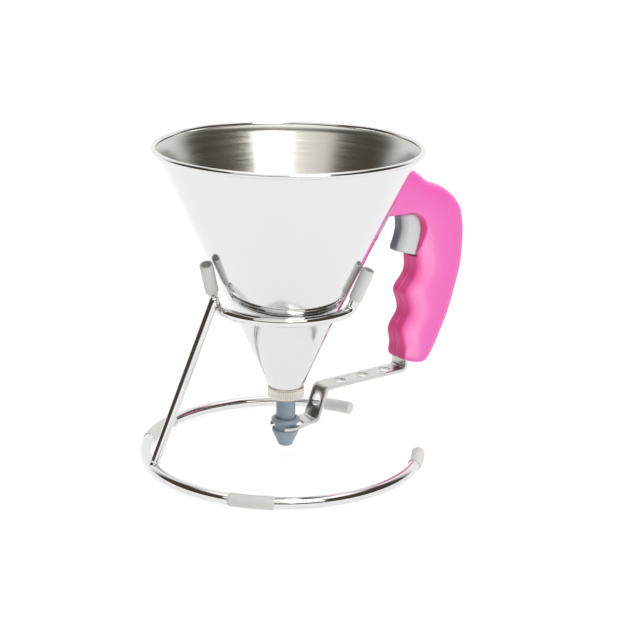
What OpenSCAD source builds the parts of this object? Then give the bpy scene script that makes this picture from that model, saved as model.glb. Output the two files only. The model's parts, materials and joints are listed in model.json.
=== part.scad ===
// Batter dispenser: a funnel with a trigger valve that hangs in a bent wire stand.
// Millimetres, +Z up, the table is z = 0. The handle points to +X.
// Modules are drawn about the funnel's axis, and place() moves them to the object's own centre.

/* [Funnel] */
// Outer radius of the rolled rim
rim_r = 75; // [70:0.5:80]
// Diameter of the rolled bead
bead_d = 3.2; // [2.6:0.2:3.8]
// Angle between the cone's wall and its axis
cone_angle = 24.67; // [24:0.01:25.4]
// Thickness of the cone's wall
cone_wall = 1; // [0.8:0.1:1.3]
// Outer radius of the cone's foot
foot_r = 9.65; // [9.5:0.05:10]

/* [Valve] */
// Height of the nozzle's tip above the table
tip_z = 6.6; // [5:0.1:10]
// Radius of the outlet
outlet_r = 3; // [2.6:0.1:3.2]
// Length of the straight outlet bore
outlet_len = 1.6; // [1.2:0.1:1.8]
// Height of the nozzle's outer cone, up to its shoulder
tip_cone_h = 8.4; // [8:0.1:9]
// Outer radius at the tip's lower edge
tip_r = 4.4; // [4.2:0.1:4.8]
// Radius of the shoulder under the fork's groove
shoulder_r = 7.7; // [7.6:0.05:7.9]
// Height of the shoulder
shoulder_h = 1.6; // [1.4:0.1:2]
// Radius of the nozzle inside the fork's groove
groove_r = 6.35; // [6.25:0.05:6.5]
// Height of the fork's groove
groove_h = 4.2; // [4.1:0.1:4.6]
// Radius of the nozzle's top flange
flange_r = 8.2; // [7.8:0.1:8.8]
// Height of the nozzle's top flange
flange_h = 2.4; // [2:0.1:3]
// Outer radius of the valve tube
tube_r = 5.46; // [5.3:0.02:5.5]
// Radius of the valve tube's bore
tube_bore_r = 4; // [3.6:0.1:4.1]
// Radial clearance between the nozzle and the tube
slide_gap = 0.06; // [0.03:0.01:0.1]
// How far the nozzle lifts
lift = 5; // [4.6:0.1:5.2]
// Radius of the ports in the valve tube
port_r = 1.1; // [0.9:0.1:1.2]
// Thickness of the O-ring's cord
o_ring_d = 0.84; // [0.7:0.02:0.9]
// Length of tube seen between the nozzle and the nut
tube_show = 12.8; // [12:0.1:15]
// Height of the collar nut
nut_h = 6.5; // [5.6:0.1:7]
// How far the nut stands out past the cone's foot
nut_over = 0.65; // [0.5:0.05:1]
// Number of ribs on the nut
nut_ribs = 48; // [36:1:60]
// Radius of the thread between the neck and the nut
thread_r = 8.4; // [8.2:0.05:8.45]

/* [Stand] */
// Thickness of the base ring's wire
ring_d = 6.4; // [5.8:0.2:7]
// Radius of the base ring's centre line
ring_r = 78.3; // [74:0.1:82]
// Offset of the base ring from the funnel's axis along X
ring_x = -1.1; // [-3:0.1:0]
// Offset of the base ring from the funnel's axis along Y
ring_y = 1.6; // [0:0.05:3]
// Diameter of the soft sleeves
sleeve_d = 7.4; // [7.2:0.2:9]
// Thickness of the cradle's and the rear leg's wire
cradle_d = 5.8; // [5.2:0.2:6]
// Height of the cradle wire's centre line
cradle_z = 90.9; // [88:0.1:95]
// Offset of the cradle's arc from the funnel's axis along X
cradle_x = 1.8; // [1:0.1:2.4]
// Offset of the cradle's arc from the funnel's axis along Y
cradle_y = 4.6; // [4:0.1:5]
// Thickness of the left leg's wire
leg_d = 5.4; // [5:0.2:5.8]
// Bend radius where the cradle turns up into a prong
bend_r = 4.5; // [4:0.1:6]
// Length of the soft sleeves on the prongs
prong_sleeve_len = 19.4; // [16:0.2:22]
// Gap between the funnel's cone and the stand
rest_gap = 0.3; // [0.2:0.05:0.5]

/* [Lever] */
// Width of the lever strip
strip_w = 12.5; // [12:0.1:12.8]
// Thickness of the lever strip
strip_t = 1.8; // [1.6:0.1:1.9]
// Outer radius of the fork's head
fork_r = 9.2; // [8.9:0.1:10]
// Height of the strip's level arm, at its middle plane
arm_z = 36.7; // [36:0.1:37.7]
// Distance from the funnel's axis to the strip's first bend
knee_x = 18.5; // [17.5:0.1:20]
// How far the steep part leans out
steep_run = 7.1; // [6:0.1:8]
// Diameter of the strip's lightening holes
hole_d = 7; // [6:0.2:7.6]
// Distance between the level arm's holes
hole_pitch = 17; // [15:0.2:18]

/* [Handle] */
// Height of the grip's reference point, level with the return spring
grip_z = 119.1; // [118:0.1:121]
// Distance from the cone to the grip's finger side at that height
grip_gap = 38.2; // [37.5:0.1:40]
// Half thickness of the grip
grip_half = 10.5; // [10.2:0.1:11.5]
// Wall of the handle's shells
shell_wall = 2.2; // [2:0.1:2.3]
// Half width of the trigger
trigger_half = 5.4; // [5.1:0.1:6]
// Gap between the handle's cheeks and the cone
cheek_gap = 0.1; // [0.05:0.05:0.3]
// Diameter of the pivot pin
pin_d = 4; // [3.6:0.1:4.4]
// Running clearance of the pivot pin in its bush
pin_gap = 0.05; // [0.02:0.01:0.1]
// Diameter of the handle's screws
screw_d = 3; // [2.6:0.2:3.6]
// Outer diameter of the return spring
spring_d = 8; // [7.4:0.2:8.4]
// Thickness of the return spring's wire
spring_wire = 0.9; // [0.7:0.1:1]
// Thickness of the bracket's plate and tongue
bracket_t = 1.8; // [1.4:0.1:2.2]

/* [Hidden] */
$fn = 96;
e = 0.01;
fit = 0.02;

steel = [0.86, 0.86, 0.85];
sleeve_grey = [0.84, 0.85, 0.83];
valve_grey = [0.5, 0.55, 0.59];
pad_grey = [0.78, 0.81, 0.83];
pink = [0.94, 0.37, 0.69];

// --- heights of the valve, from the tip up
shoulder_z = tip_z + tip_cone_h;
groove_z = shoulder_z + shoulder_h;
flange_z = groove_z + groove_h;
nozzle_top = flange_z + flange_h;
nut_z = nozzle_top + tube_show;
nut_top = nut_z + nut_h;
nut_r = foot_r + nut_over;
nut_lip = 1.2;
collar_h = 1.3;
gasket_h = 0.8;
seat_gap = 0.05;
collar_z = nut_z + nut_lip + seat_gap;
gasket_z = collar_z + collar_h;
spigot_z = gasket_z + gasket_h;
foot_gap = 0.2;
foot_z = nut_top + foot_gap;
bore_r = tube_r + slide_gap;
chamber_r = 6.5;
chamber_z = shoulder_z - 0.9;
chamber_top = shoulder_z + 0.7;
tube_end = chamber_top + lift - 2 * port_r - 0.5;
port_z = tube_end + 0.5 + port_r;
o_groove_r = tube_r + 0.04 - o_ring_d;
o_ring_z = port_z + port_r + 0.45 + o_ring_d / 2;

// --- cone
slope = tan(cone_angle);
wall_x = cone_wall / cos(cone_angle);
bead_r = bead_d / 2;
cone_top_r = rim_r - bead_d + 0.6;
bead_z = foot_z + (cone_top_r - foot_r) / slope;
function cone_r(z) = foot_r + (z - foot_z) * slope;
// A point beside the cone: azimuth, distance from the wall, height.
function beside(az, d, z) = let (r = cone_r(z) + d / cos(cone_angle)) [r * cos(az), r * sin(az), z];

// --- stand
sleeve_r = sleeve_d / 2;
ring_z = sleeve_r;
cradle_wr = cradle_d / 2;
leg_r = leg_d / 2;
sleeve_cap = 1.6;
ball_gap = 0.2;
ball_more = 0.1;
cap_angle = sleeve_cap / ring_r * 180 / PI;
near_tip = -40.6;
far_tip = 21.2;
cradle_c = [cradle_x, cradle_y, cradle_z];
cradle_r = norm([cradle_x, cradle_y]) + cone_r(cradle_z) + (cradle_wr + rest_gap) / cos(cone_angle);
arc_left = 173;
arc_right = 291;
function ring_pt(az) = [ring_x + ring_r * cos(az), ring_y + ring_r * sin(az), ring_z];
function arc_pt(az) = cradle_c + [cradle_r * cos(az), cradle_r * sin(az), 0];
function unit(v) = v / norm(v);
seat_d = sleeve_r + rest_gap;
// Each prong: where its bend starts, the way the wire runs there, and where its sleeve ends.
left_p = arc_pt(arc_left);
left_dir = [sin(arc_left), -cos(arc_left), 0];
left_tip = beside(170.2, seat_d, cradle_z + 28.4);
right_p = arc_pt(arc_right);
right_dir = [-sin(arc_right), cos(arc_right), 0];
right_tip = beside(-57.6, seat_d, cradle_z + 25);
rear_az = 55;
rear_foot = ring_pt(53.9);
rear_knee = beside(rear_az, cradle_wr + 2.6, cradle_z);
rear_tip = beside(rear_az, seat_d, cradle_z + 28);
rear_dir = unit(rear_knee - rear_foot);
rear_turn = acos(rear_dir * unit(rear_tip - rear_knee));
rear_bend_r = 8;
rear_p = rear_knee - rear_dir * rear_bend_r * tan(rear_turn / 2);

// A wire that starts at p along t, bends with radius rb and ends at q: the frame's second axis, the
// turn and the straight length after it.
function side_of(p, t, q) = unit((q - p) - ((q - p) * t) * t);
function reach(p, t, q, rb) =
  let (a = (q - p) * t, b = (q - p) * side_of(p, t, q) - rb) sqrt(a * a + b * b - rb * rb);
function turn(p, t, q, rb) =
  let (a = (q - p) * t, b = (q - p) * side_of(p, t, q) - rb) atan2(b, a) + atan2(rb, reach(p, t, q, rb));
function heading(p, t, q, rb) = let (f = turn(p, t, q, rb)) t * cos(f) + side_of(p, t, q) * sin(f);
left_up = heading(left_p, left_dir, left_tip, bend_r);
leg_top = left_tip - left_up * (prong_sleeve_len + 1.5 + leg_r)
          + (cradle_wr + leg_r - 0.1) * [-0.5, -0.86, 0];
leg_foot = ring_pt(167.5);

// --- handle: each station is a slice from the finger side to the back of the hand, given from the
// reference point: [finger side x, z, back x, z, half thickness less, half width of finger side]
grip = [cone_r(grip_z) + grip_gap, grip_z];
grip_stations = [
  [1.4, -77.2, 15.5, -80.6, 3.7, 5.5],
  [-0.9, -75.4, 18.6, -80, 1.3, 7.6],
  [-1.6, -72.6, 21.2, -77.4, 0.3, 8.4],
  [-1.5, -67.2, 25.2, -71.4, 0, 7.6],
  [-3.6, -58.6, 29.4, -63.2, 0, 6.6],
  [-1.8, -53.6, 32.4, -57.2, 0, 6.2],
  [1.6, -49, 34.8, -52.2, 0, 6],
  [2.3, -45, 36.6, -47.2, 0, 6],
  [1.1, -40.5, 38.4, -42, 0, 6],
  [-1, -34.7, 40.4, -35.5, 0, 6],
  [1, -30.5, 41.9, -30.5, 0, 6],
  [5, -26.2, 43.3, -25, 0, 6],
  [6.9, -21.5, 44.3, -19, 0, 6],
  [6.1, -12.5, 44.9, -9, 0, 6],
  [4.2, -4, 44.6, 1, 0, 7],
  [1.2, 3.5, 42.6, 11, 0, 8],
  [-2.6, 8.5, 38, 18, 0.1, 8.6],
  [-9, 10, 31.9, 23.3, 0.3, 9],
  [-15.5, 10, 24.5, 27.4, 0.5, 9],
  [-22.5, 9.5, 16.5, 30.4, 0.6, 9],
  [-29, 9, 8.3, 36.4, 0.7, 9],
  [-35, 8, 0, 41.7, 0.8, 9],
  [-40.5, 7, -8, 46.8, 0.9, 9],
  [-45, 6, -16.5, 52.2, 1, 9]];
trigger_stations = [
  [-4.2, -9.4, 14, -14.8, 1.1, 3],
  [-6.3, -8.4, 15, -13.8, 0.2, 3.8],
  [-6.4, -6.4, 15.5, -10.8, 0, 4],
  [-5.1, -3, 15.5, -5.6, 0, 4],
  [-3.7, 1.2, 15.5, 0, 0, 4],
  [-3.1, 5.4, 15.5, 5, 0, 4],
  [-3.4, 9.3, 15.5, 9.5, 0, 4],
  [-4, 12, 15, 12.4, 0.1, 4],
  [-3, 12.9, 14.4, 13.3, 0.9, 3.2]];
// A smooth curve through the stations, with k steps between two of them.
function mid(a, b, c, d, t) =
  (2 * b + (c - a) * t + (2 * a - 5 * b + 4 * c - d) * t * t + (3 * b - a - 3 * c + d) * t * t * t) / 2;
function smooth(s, k) = let (n = len(s)) concat(
  [for (i = [0:n - 2]) for (j = [0:k - 1])
    mid(s[max(i - 1, 0)], s[i], s[i + 1], s[min(i + 2, n - 1)], j / k)],
  [s[n - 1]]);
// One slice from the finger side to the back: [distance, half thickness]
function slice(w, b, f) =
  let (lf = min(13, 0.38 * w), rb = min(0.95 * b, 0.42 * w)) concat(
    [[0, 0.7 * f], [0.5, f]],
    [for (k = [0.12, 0.3, 0.6, 1]) [0.5 + k * (lf - 0.5), f + (b - f) * sin(90 * pow(k, 0.8))]],
    [for (a = [0, 20, 40, 60, 76, 87]) [w - rb + rb * sin(a), b * cos(a)]]);
// The ring of points of one station, from the near side's front round to the far side's front
function ring3(s, b, inset) =
  let (p = grip + [s[0], s[1]], q = grip + [s[2], s[3]], w = norm(q - p), d = (q - p) / w,
       h = slice(w - 2 * inset, b - s[4] - inset, max(s[5] - inset, 2)), m = len(h))
  [for (i = [0:2 * m - 1]) let (near = i < m, v = h[near ? i : 2 * m - 1 - i])
    [p[0] + d[0] * (v[0] + inset), near ? -v[1] : v[1], p[1] + d[1] * (v[0] + inset)]];
grip_smooth = smooth(grip_stations, 2);
reach_x = grip[0] + max([for (s = grip_smooth) s[2]]);

pivot = grip + [12, -63];
hub_r = 5.5;
hub_half = 5;
bush_r = pin_d / 2 + 1.2;
boss_r = 4.2;
boss_end = grip_half - 1;
pin_half = grip_half - 2.1;
// The strip stands upright in front of the trigger's foot.
upright_x = pivot[0] - 10.1;
upright_top = pivot[1] + 4.5;
rivet_r = 1.5;
rivet_zs = [pivot[1] - 4.7, pivot[1] + 1.3];
trigger_back = grip[0] + 15.5;
spring_seat_x = grip[0] + 32.5;
spring_turns = 6;
cheek_z = grip_z + 14.5;
screws = [grip + [2, 27], grip + [33.4, -14], grip + [25.6, -46]];

// --- place on the table's centre
frame_x = (reach_x + ring_x - ring_r - ring_d / 2) / 2;
frame_y = ring_y;

module place() { translate([-frame_x, -frame_y, 0]) children(); }
module along(p, x, y) {
  z = cross(x, y);
  multmatrix([[x[0], y[0], z[0], p[0]], [x[1], y[1], z[1], p[1]], [x[2], y[2], z[2], p[2]]]) children();
}
module rod(p, q, r) {
  d = unit(q - p);
  s = unit(abs(d[2]) > 0.9 ? cross(d, [1, 0, 0]) : cross(d, [0, 0, 1]));
  along(p, s, cross(d, s)) cylinder(h = norm(q - p), r = r);
}
module arc_rod(radius, r, a0, a1) {
  rotate([0, 0, a0]) rotate_extrude(angle = a1 - a0) translate([radius, 0]) circle(r);
}
// The bend at a prong's foot and its straight part, which stops short of q. A ball a hair thicker than
// the wire joins two lengths of wire, and their ends stay clear of each other inside it.
module bent_rod(p, t, q, rb, r, short) {
  f = turn(p, t, q, rb);
  g = ball_gap / rb * 180 / PI;
  u = heading(p, t, q, rb);
  m = p + rb * sin(f) * t + rb * (1 - cos(f)) * side_of(p, t, q);
  translate(p) sphere(r + ball_more);
  along(p, t, side_of(p, t, q)) translate([0, rb, 0]) rotate([0, 0, -90 + g])
    rotate_extrude(angle = f - 2 * g) translate([rb, 0]) circle(r);
  translate(m) sphere(r + ball_more);
  rod(m + u * ball_gap, q - u * short, r);
}
module across(p, r, y0, y1) { translate([p[0], y1, p[1]]) rotate([90, 0, 0]) cylinder(h = y1 - y0, r = r); }
module slab(points, y0, y1) { translate([0, y1, 0]) rotate([90, 0, 0]) linear_extrude(y1 - y0) polygon(points); }
module loft(stations, b, inset) {
  rings = [for (s = stations) ring3(s, b, inset)];
  n = len(rings);
  m = len(rings[0]);
  walls = [for (i = [0:n - 2]) for (j = [0:m - 1]) let (k = (j + 1) % m)
    each [[i * m + j, i * m + m + k, i * m + k], [i * m + j, i * m + m + j, i * m + m + k]]];
  polyhedron([for (g = rings) each g],
             concat(walls, [[for (j = [0:m - 1]) j]], [[for (j = [m - 1:-1:0]) (n - 1) * m + j]]), convexity = 8);
}

// --- stand
module ring_wire(r, a0, a1) { translate([ring_x, ring_y, ring_z]) arc_rod(ring_r, r, a0, a1); }
module base_ring() {
  color(steel) place() ring_wire(ring_d / 2, far_tip + cap_angle, 360 + near_tip - cap_angle);
}
module ring_sleeve(a0, a1) {
  color(sleeve_grey) place() difference() {
    ring_wire(sleeve_r, a0, a1);
    ring_wire(ring_d / 2 + fit, a0 - 1, a1 + 1);
  }
}
module foot_sleeve_front() { ring_sleeve(-147.3, -129.1); }
module foot_sleeve_left() { ring_sleeve(110.6, 134.7); }
module end_sleeve_near() {
  color(sleeve_grey) place() difference() {
    ring_wire(sleeve_r, near_tip - 14.8, near_tip);
    ring_wire(ring_d / 2 + fit, near_tip - 15.8, near_tip - cap_angle);
  }
}
module end_sleeve_far() {
  color(sleeve_grey) place() difference() {
    ring_wire(sleeve_r, far_tip, far_tip + 12.5);
    ring_wire(ring_d / 2 + fit, far_tip + cap_angle, far_tip + 13.5);
  }
}
module cradle_shape() {
  g = ball_gap / cradle_r * 180 / PI;
  translate(cradle_c) arc_rod(cradle_r, cradle_wr, arc_left + g, arc_right - g);
  bent_rod(left_p, left_dir, left_tip, bend_r, cradle_wr, sleeve_cap);
  bent_rod(right_p, right_dir, right_tip, bend_r, cradle_wr, sleeve_cap);
}
module cradle_wire() { color(steel) place() cradle_shape(); }
module left_leg() {
  color(steel) place() difference() {
    union() {
      rod(leg_foot, leg_top, leg_r);
      translate(leg_top) sphere(leg_r + ball_more);
    }
    ring_wire(ring_d / 2, 150, 180);
  }
}
module rear_leg() {
  color(steel) place() difference() {
    union() {
      rod(rear_foot, rear_p - ball_gap * rear_dir, cradle_wr);
      bent_rod(rear_p, rear_dir, rear_tip, rear_bend_r, cradle_wr, sleeve_cap);
    }
    ring_wire(ring_d / 2, 40, 68);
  }
}
module prong_sleeve(p, t, q, rb) {
  u = heading(p, t, q, rb);
  color(sleeve_grey) place() difference() {
    rod(q - u * prong_sleeve_len, q, sleeve_r);
    rod(q - u * (prong_sleeve_len + 1), q - u * sleeve_cap, cradle_wr + fit);
  }
}
module prong_sleeve_left() { prong_sleeve(left_p, left_dir, left_tip, bend_r); }
module prong_sleeve_right() { prong_sleeve(right_p, right_dir, right_tip, bend_r); }
module prong_sleeve_rear() { prong_sleeve(rear_p, rear_dir, rear_tip, rear_bend_r); }

// --- funnel
module funnel_cone() {
  color(steel) place() {
    rotate_extrude() polygon([
      [foot_r - wall_x, foot_z], [foot_r, foot_z], [cone_top_r, bead_z], [cone_top_r - wall_x, bead_z]]);
    translate([0, 0, bead_z]) rotate_extrude() translate([rim_r - bead_r, 0]) circle(bead_r);
  }
}
module neck_spigot() {
  top = foot_z + 3;
  color(steel) place() rotate_extrude() polygon([
    [tube_bore_r, spigot_z], [thread_r, spigot_z], [thread_r, foot_z], [foot_r - wall_x, foot_z],
    [cone_r(top) - wall_x, top], [cone_r(top) - wall_x - 0.6, top], [tube_bore_r, foot_z - 0.6]]);
}
module neck_gasket() {
  color([0.2, 0.2, 0.2]) place() translate([0, 0, gasket_z]) difference() {
    cylinder(h = gasket_h, r = thread_r - 0.3);
    translate([0, 0, -1]) cylinder(h = gasket_h + 2, r = tube_bore_r);
  }
}
module collar_nut() {
  deep = 0.35;
  step = 360 / nut_ribs;
  color(steel) place() translate([0, 0, nut_z]) difference() {
    intersection() {
      linear_extrude(nut_h) polygon([for (i = [0:nut_ribs - 1]) for (k = [[0, 1], [0.3, 1], [0.5, 0], [0.8, 0]])
        let (a = (i + k[0]) * step, r = nut_r - deep * (1 - k[1])) [r * cos(a), r * sin(a)]]);
      rotate_extrude() polygon([[0, 0], [nut_r - 0.6, 0], [nut_r + 0.2, 0.7], [nut_r + 0.2, nut_h - 0.7],
                                [nut_r - 0.6, nut_h], [0, nut_h]]);
    }
    translate([0, 0, nut_lip]) cylinder(h = nut_h, r = thread_r + seat_gap);
    translate([0, 0, -1]) cylinder(h = nut_h, r = tube_r + 0.1);
  }
}
module valve_tube() {
  color(valve_grey) place() difference() {
    union() {
      translate([0, 0, tube_end]) cylinder(h = gasket_z - tube_end, r = tube_r);
      translate([0, 0, collar_z]) cylinder(h = collar_h, r = thread_r - 0.3);
    }
    translate([0, 0, tube_end - 1]) cylinder(h = gasket_z - tube_end + 2, r = tube_bore_r);
    for (a = [30, 150, 270]) rotate([0, 0, a]) translate([0, 0, port_z]) rotate([0, 90, 0])
      cylinder(h = tube_r + 1, r = port_r);
    translate([0, 0, o_ring_z - o_ring_d / 2]) difference() {
      cylinder(h = o_ring_d, r = tube_r + 1);
      translate([0, 0, -1]) cylinder(h = o_ring_d + 2, r = o_groove_r);
    }
  }
}
module valve_plug() {
  color(valve_grey) place() rotate_extrude() polygon([
    [0, tube_end - 3], [2.4, tube_end - 3], [tube_r - 0.66, tube_end - 1], [tube_r - 0.66, tube_end],
    [tube_bore_r - fit, tube_end], [tube_bore_r - fit, tube_end + 0.45], [0, tube_end + 0.45]]);
}
module tube_o_ring() {
  color([0.2, 0.2, 0.2]) place() translate([0, 0, o_ring_z]) rotate_extrude()
    translate([o_groove_r + o_ring_d / 2, 0]) circle(o_ring_d / 2);
}
module nozzle_slider() {
  edge_z = tip_z + 1.1;
  color(valve_grey) place() difference() {
    rotate_extrude() polygon([
      [0, tip_z], [tip_r - 0.8, tip_z], [tip_r - 0.25, tip_z + 0.35], [tip_r, edge_z],
      [shoulder_r - 0.1, shoulder_z], [shoulder_r, shoulder_z + 0.2], [shoulder_r, groove_z - 0.2],
      [shoulder_r - 0.2, groove_z], [groove_r, groove_z], [groove_r, flange_z], [flange_r - 0.2, flange_z],
      [flange_r, flange_z + 0.2], [flange_r, nozzle_top - 0.8], [flange_r - 0.8, nozzle_top], [0, nozzle_top]]);
    translate([0, 0, tip_z - 1]) cylinder(h = outlet_len + 1 + e, r = outlet_r);
    translate([0, 0, tip_z + outlet_len])
      cylinder(h = chamber_z - tip_z - outlet_len, r1 = outlet_r, r2 = chamber_r);
    translate([0, 0, chamber_z - e]) cylinder(h = chamber_top - chamber_z + e, r = chamber_r);
    translate([0, 0, chamber_top - e]) cylinder(h = nozzle_top - chamber_top + 1, r = bore_r);
  }
}

// --- handle
plate_low = cheek_z + 7;
plate_high = cheek_z + 25;
module cone_layer(inner, outer, z0, z1) {
  rotate_extrude() polygon([[cone_r(z0) + inner, z0], [cone_r(z0) + outer, z0],
                            [cone_r(z1) + outer, z1], [cone_r(z1) + inner, z1]]);
}
// Everything inside the cone's outer face, and gap more.
module cone_space(gap) {
  top = bead_z + 20;
  rotate_extrude() polygon([[0, foot_z], [cone_r(foot_z) + gap, foot_z], [cone_r(top) + gap, top], [0, top]]);
}
module bracket_plate(more) {
  intersection() {
    cone_layer(-more, bracket_t / cos(cone_angle) + more, plate_low - more, plate_high + more);
    translate([20, -7 - more, 0]) cube([100, 14 + 2 * more, plate_high + 10]);
  }
}
function tongue_points(more) = [
  [cone_r(plate_low + 2), plate_low + 2 - more], [screws[0][0] + 6 + more, screws[0][1] - 5 - more],
  [screws[0][0] + 6 + more, screws[0][1] + 4 + more], [screws[0][0] - 4, screws[0][1] + 8 + more],
  [cone_r(plate_high - 2), plate_high - 2 + more]];
module handle_bracket() {
  color(steel) place() difference() {
    union() {
      bracket_plate(0);
      difference() {
        slab(tongue_points(0), -bracket_t / 2, bracket_t / 2);
        cone_space(0.5);
      }
    }
    across(screws[0], screw_d / 2 + 0.1, -5, 5);
  }
}
// Space for the trigger inside the cheeks, and the window through which it is seen.
module trigger_room(y0, y1) {
  slab([for (v = [[-6, -9.6], [17, -16.4], [21, -15], [21, 16], [-4.5, 16], [-6, 14.5]]) grip + v], y0, y1);
}
module trigger_window(y0, y1) {
  edge = [[2.6, -14.5], [5, -13.3], [6.8, -8.6], [8, -2.4], [9, 1], [9.5, 3.6], [9, 6.4], [7.4, 9.6],
          [4.8, 12.4], [2, 14], [-1, cheek_z - grip_z]];
  low = [[-80, -14.5], [-80, cheek_z - grip_z]];
  slab([for (v = concat([low[0]], edge, [low[1]])) grip + v], y0, y1);
}
module handle_half(side) {
  room_half = min(trigger_half + 0.6, grip_half - shell_wall);
  y0 = side < 0 ? -boss_end : -1;
  color(pink) place() difference() {
    union() {
      difference() {
        loft(grip_smooth, grip_half, 0);
        loft([for (i = [2:15]) grip_stations[i]], grip_half, shell_wall);
        trigger_room(-room_half, room_half);
      }
      for (p = [screws[1], screws[2]]) across(p, boss_r, y0, y0 + boss_end + 1);
      across(pivot, boss_r, side < 0 ? -boss_end : hub_half + 0.2, side < 0 ? -hub_half - 0.2 : boss_end);
      translate([spring_seat_x, -spring_d / 2 - 0.8, grip_z - spring_d / 2 - 0.8])
        cube([reach_x - spring_seat_x - 2.6, spring_d + 1.6, spring_d + 1.6]);
    }
    translate([0, side < 0 ? 0 : -30, 0]) cube([reach_x + 10, 30, bead_z + 10]);
    trigger_window(-20, 20);
    cone_space(cheek_gap);
    bracket_plate(0.15);
    slab(tongue_points(0.15), -bracket_t / 2 - 0.1, bracket_t / 2 + 0.1);
    translate([upright_x - strip_t / 2 - 1.1, -strip_w / 2 - 0.5, 20])
      cube([strip_t + 3.1, strip_w + 1, upright_top + 2 - 20]);
    across(pivot, pin_d / 2 + fit, -pin_half, pin_half);
    for (p = screws) {
      across(p, screw_d / 2 + fit, -grip_half + 3, grip_half);
      if (side > 0) across(p, screw_d + 0.4, grip_half - 3, grip_half + 5);
    }
  }
}
module handle_shell_near() { handle_half(-1); }
module handle_shell_far() { handle_half(1); }
module handle_screws() {
  color(steel) place() for (p = screws) {
    across(p, screw_d / 2, -grip_half + 3.2, grip_half - 3);
    across(p, screw_d, grip_half - 3, grip_half - 1.2);
  }
}
module pivot_pin() { color(steel) place() across(pivot, pin_d / 2, -pin_half, pin_half); }

// The return spring: a tube swept along a coil from the trigger's back to its seat.
module return_spring() {
  turns = spring_turns;
  per = 14;
  sides = 6;
  wr = spring_wire / 2;
  cr = spring_d / 2 - wr;
  x0 = trigger_back + wr;
  x1 = spring_seat_x - wr;
  n = turns * per;
  pts = [for (i = [0:n]) let (a = i / per * 360, x = x0 + (x1 - x0) * i / n)
    for (k = [0:sides - 1]) let (b = k / sides * 360, r = cr + wr * cos(b))
      [x + wr * sin(b), r * cos(a), grip_z + r * sin(a)]];
  walls = [for (i = [0:n - 1]) for (k = [0:sides - 1]) let (j = (k + 1) % sides)
    each [[i * sides + k, i * sides + sides + j, i * sides + j],
          [i * sides + k, i * sides + sides + k, i * sides + sides + j]]];
  color(steel) place() polyhedron(pts, concat(walls, [[for (k = [0:sides - 1]) k]],
    [[for (k = [sides - 1:-1:0]) n * sides + k]]), convexity = 12);
}

// --- lever
module trigger() {
  arm = [[8.4, -8], [16, -8], [17.5, -40], [pivot[0] - grip[0] + hub_r - 0.5, pivot[1] - grip_z],
         [pivot[0] - grip[0] - hub_r + 0.5, pivot[1] - grip_z], [8.5, -46], [10.4, -27], [10.4, -18]];
  foot_x = upright_x + strip_t / 2;
  color(pad_grey) place() difference() {
    union() {
      loft(smooth(trigger_stations, 2), trigger_half, 0);
      slab([for (v = arm) grip + v], -4, 4);
      across(pivot, hub_r, -hub_half, hub_half);
      translate([foot_x, -hub_half, upright_top - 12.5]) cube([pivot[0] - foot_x, 2 * hub_half, 12.5]);
      translate([trigger_back - 1, 0, grip_z]) rotate([0, 90, 0]) cylinder(h = 4, r = spring_d / 2 - spring_wire - 0.5);
    }
    across(pivot, bush_r, -20, 20);
    for (z = rivet_zs) translate([foot_x - 1, 0, z]) rotate([0, 90, 0]) cylinder(h = 4.5, r = rivet_r + fit);
  }
}
module pivot_bush() {
  color([0.75, 0.6, 0.35]) place() difference() {
    across(pivot, bush_r, -hub_half - 0.1, hub_half + 0.1);
    across(pivot, pin_d / 2 + pin_gap, -20, 20);
  }
}
// The strip's middle line from the fork to its top, with rounded corners.
fork_z = groove_z + 0.9 + strip_t / 2;
steep_x = knee_x + steep_run;
function corner(a, b, c, r, n) =
  let (u = unit(a - b), v = unit(c - b), h = acos(u * v) / 2, o = b + unit(u + v) * r / sin(h),
       p = b + u * r / tan(h) - o, q = b + v * r / tan(h) - o, a0 = atan2(p[1], p[0]), a1 = atan2(q[1], q[0]),
       d = a1 - a0 > 180 ? a1 - a0 - 360 : a1 - a0 < -180 ? a1 - a0 + 360 : a1 - a0)
  [for (i = [0:n]) o + r * [cos(a0 + d * i / n), sin(a0 + d * i / n)]];
strip_corners = [[knee_x - 6, fork_z], [knee_x, fork_z], [steep_x, arm_z], [upright_x, arm_z],
                 [upright_x, upright_top]];
strip_line = concat([strip_corners[0]],
  corner(strip_corners[0], strip_corners[1], strip_corners[2], 2.6, 8),
  corner(strip_corners[1], strip_corners[2], strip_corners[3], 2.6, 8),
  corner(strip_corners[2], strip_corners[3], strip_corners[4], 3, 8), [strip_corners[4]]);
function normal_at(l, i) =
  let (d = unit(l[min(i + 1, len(l) - 1)] - l[max(i - 1, 0)])) [-d[1], d[0]];
function thick(l, t) = concat(
  [for (i = [0:len(l) - 1]) l[i] + normal_at(l, i) * t / 2],
  [for (i = [len(l) - 1:-1:0]) l[i] - normal_at(l, i) * t / 2]);
slot_half = groove_r + 0.35;
slot_end = shoulder_r + 2.3;
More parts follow.
